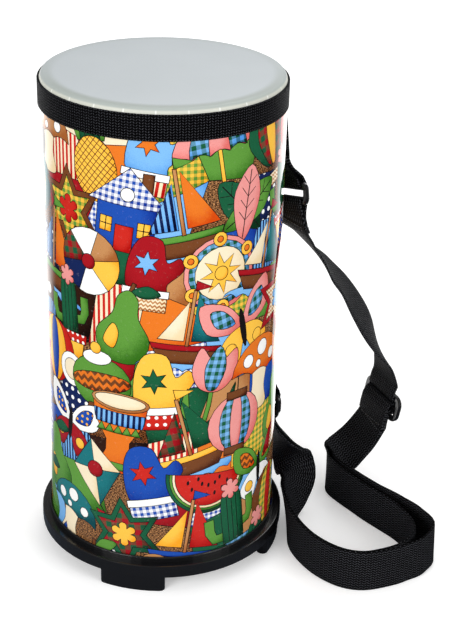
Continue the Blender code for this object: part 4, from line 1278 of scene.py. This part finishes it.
def floor_material():
    """Pale floor. Reflections see it dark in front, white behind and brightest on both sides there, where it
    glows as a painted reflection.
    """
    tree = Tree("floor")
    x, y, z = tree.place()
    seen, mirrored_in = tree.light("Camera"), tree.light("Glossy")
    pale = tree.mix(tree.noise((x, y, z), 0.004, 1.0), *FLOOR_TONES)
    spot = tree.math("SQRT", tree.squares(x, y))
    way = tree.math("DIVIDE", y, spot)
    behind = tree.soft(way, *BACK_SIDE)
    # Painted reflection: the floor glows on both sides behind, seen only in reflections, with no lamp there.
    painted_reflection = tree.mul(tree.soft(way, *REFLECTION_SIDE), tree.soft(way, *REFLECTION_MIDDLE))
    painted_reflection = tree.mul(tree.mul(painted_reflection, mirrored_in), REFLECTION_GLOW)
    front = tree.mix(tree.soft(spot, *FRONT_FADE), *FRONT_TONES)
    lit = tree.math("MAXIMUM", seen, tree.mul(mirrored_in, behind))
    glow = tree.add(FLOOR_GLOW, tree.mul(tree.soft(spot, *FAR_FADE), FAR_GLOW))
    shade = tree.mix(mirrored_in, pale, tree.mix(behind, front, BACK_TONE))
    shade = tree.mix(seen, shade, FLOOR_IN_VIEW)
    return tree.finish(Base_Color=shade, Roughness=0.9, Specular_IOR_Level=0.1,
                       Emission_Color=(1.0, 1.0, 1.0),
                       Emission_Strength=tree.add(tree.mul(lit, glow), painted_reflection))


def add_studio():
    mesh = bpy.data.meshes.new("floor")
    far = FLOOR_REACH
    mesh.from_pydata([(-far, -far, 0), (far, -far, 0), (far, far, 0), (-far, far, 0)], [], [(0, 1, 2, 3)])
    floor = placed("floor", mesh, floor_material())
    for name, place, size, power in LAMPS:
        data = bpy.data.lights.new(name, "AREA")
        data.size = size
        data.energy = power
        light = placed(name, data)
        light.location = place
        light.rotation_euler = (LAMP_AIM - Vector(place)).to_track_quat("-Z", "Y").to_euler()
    tree = Tree("world", "Background", bpy.data.worlds)
    dim = tree.add(WORLD_LIGHT, tree.mul(tree.light("Glossy"), WORLD_GLOSS - WORLD_LIGHT))
    strength = tree.math("MAXIMUM", dim, tree.light("Camera"))
    scene.world = tree.finish(Color=(1.0, 1.0, 1.0), Strength=strength)
    scene.view_settings.view_transform = "Standard"


def dress(node, material):
    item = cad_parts[node]
    item.data.materials.clear()
    item.data.materials.append(material)


def main():
    add_camera()
    add_strap(webbing_material())
    add_tab_stitches()
    black = moulded_material()
    steel = steel_material()
    add_wrap()
    add_head()
    dress("shell", fibre_material())
    for node in ("foot_ring", "upper_loop", "lower_loop", "strap_slider"):
        dress(node, black)
    for side in ("upper", "lower"):
        for piece in ("screw", "washer", "back_washer", "nut"):
            dress("%s_tab_%s" % (side, piece), steel)
        dress(side + "_tab", band_material())
    add_studio()


main()
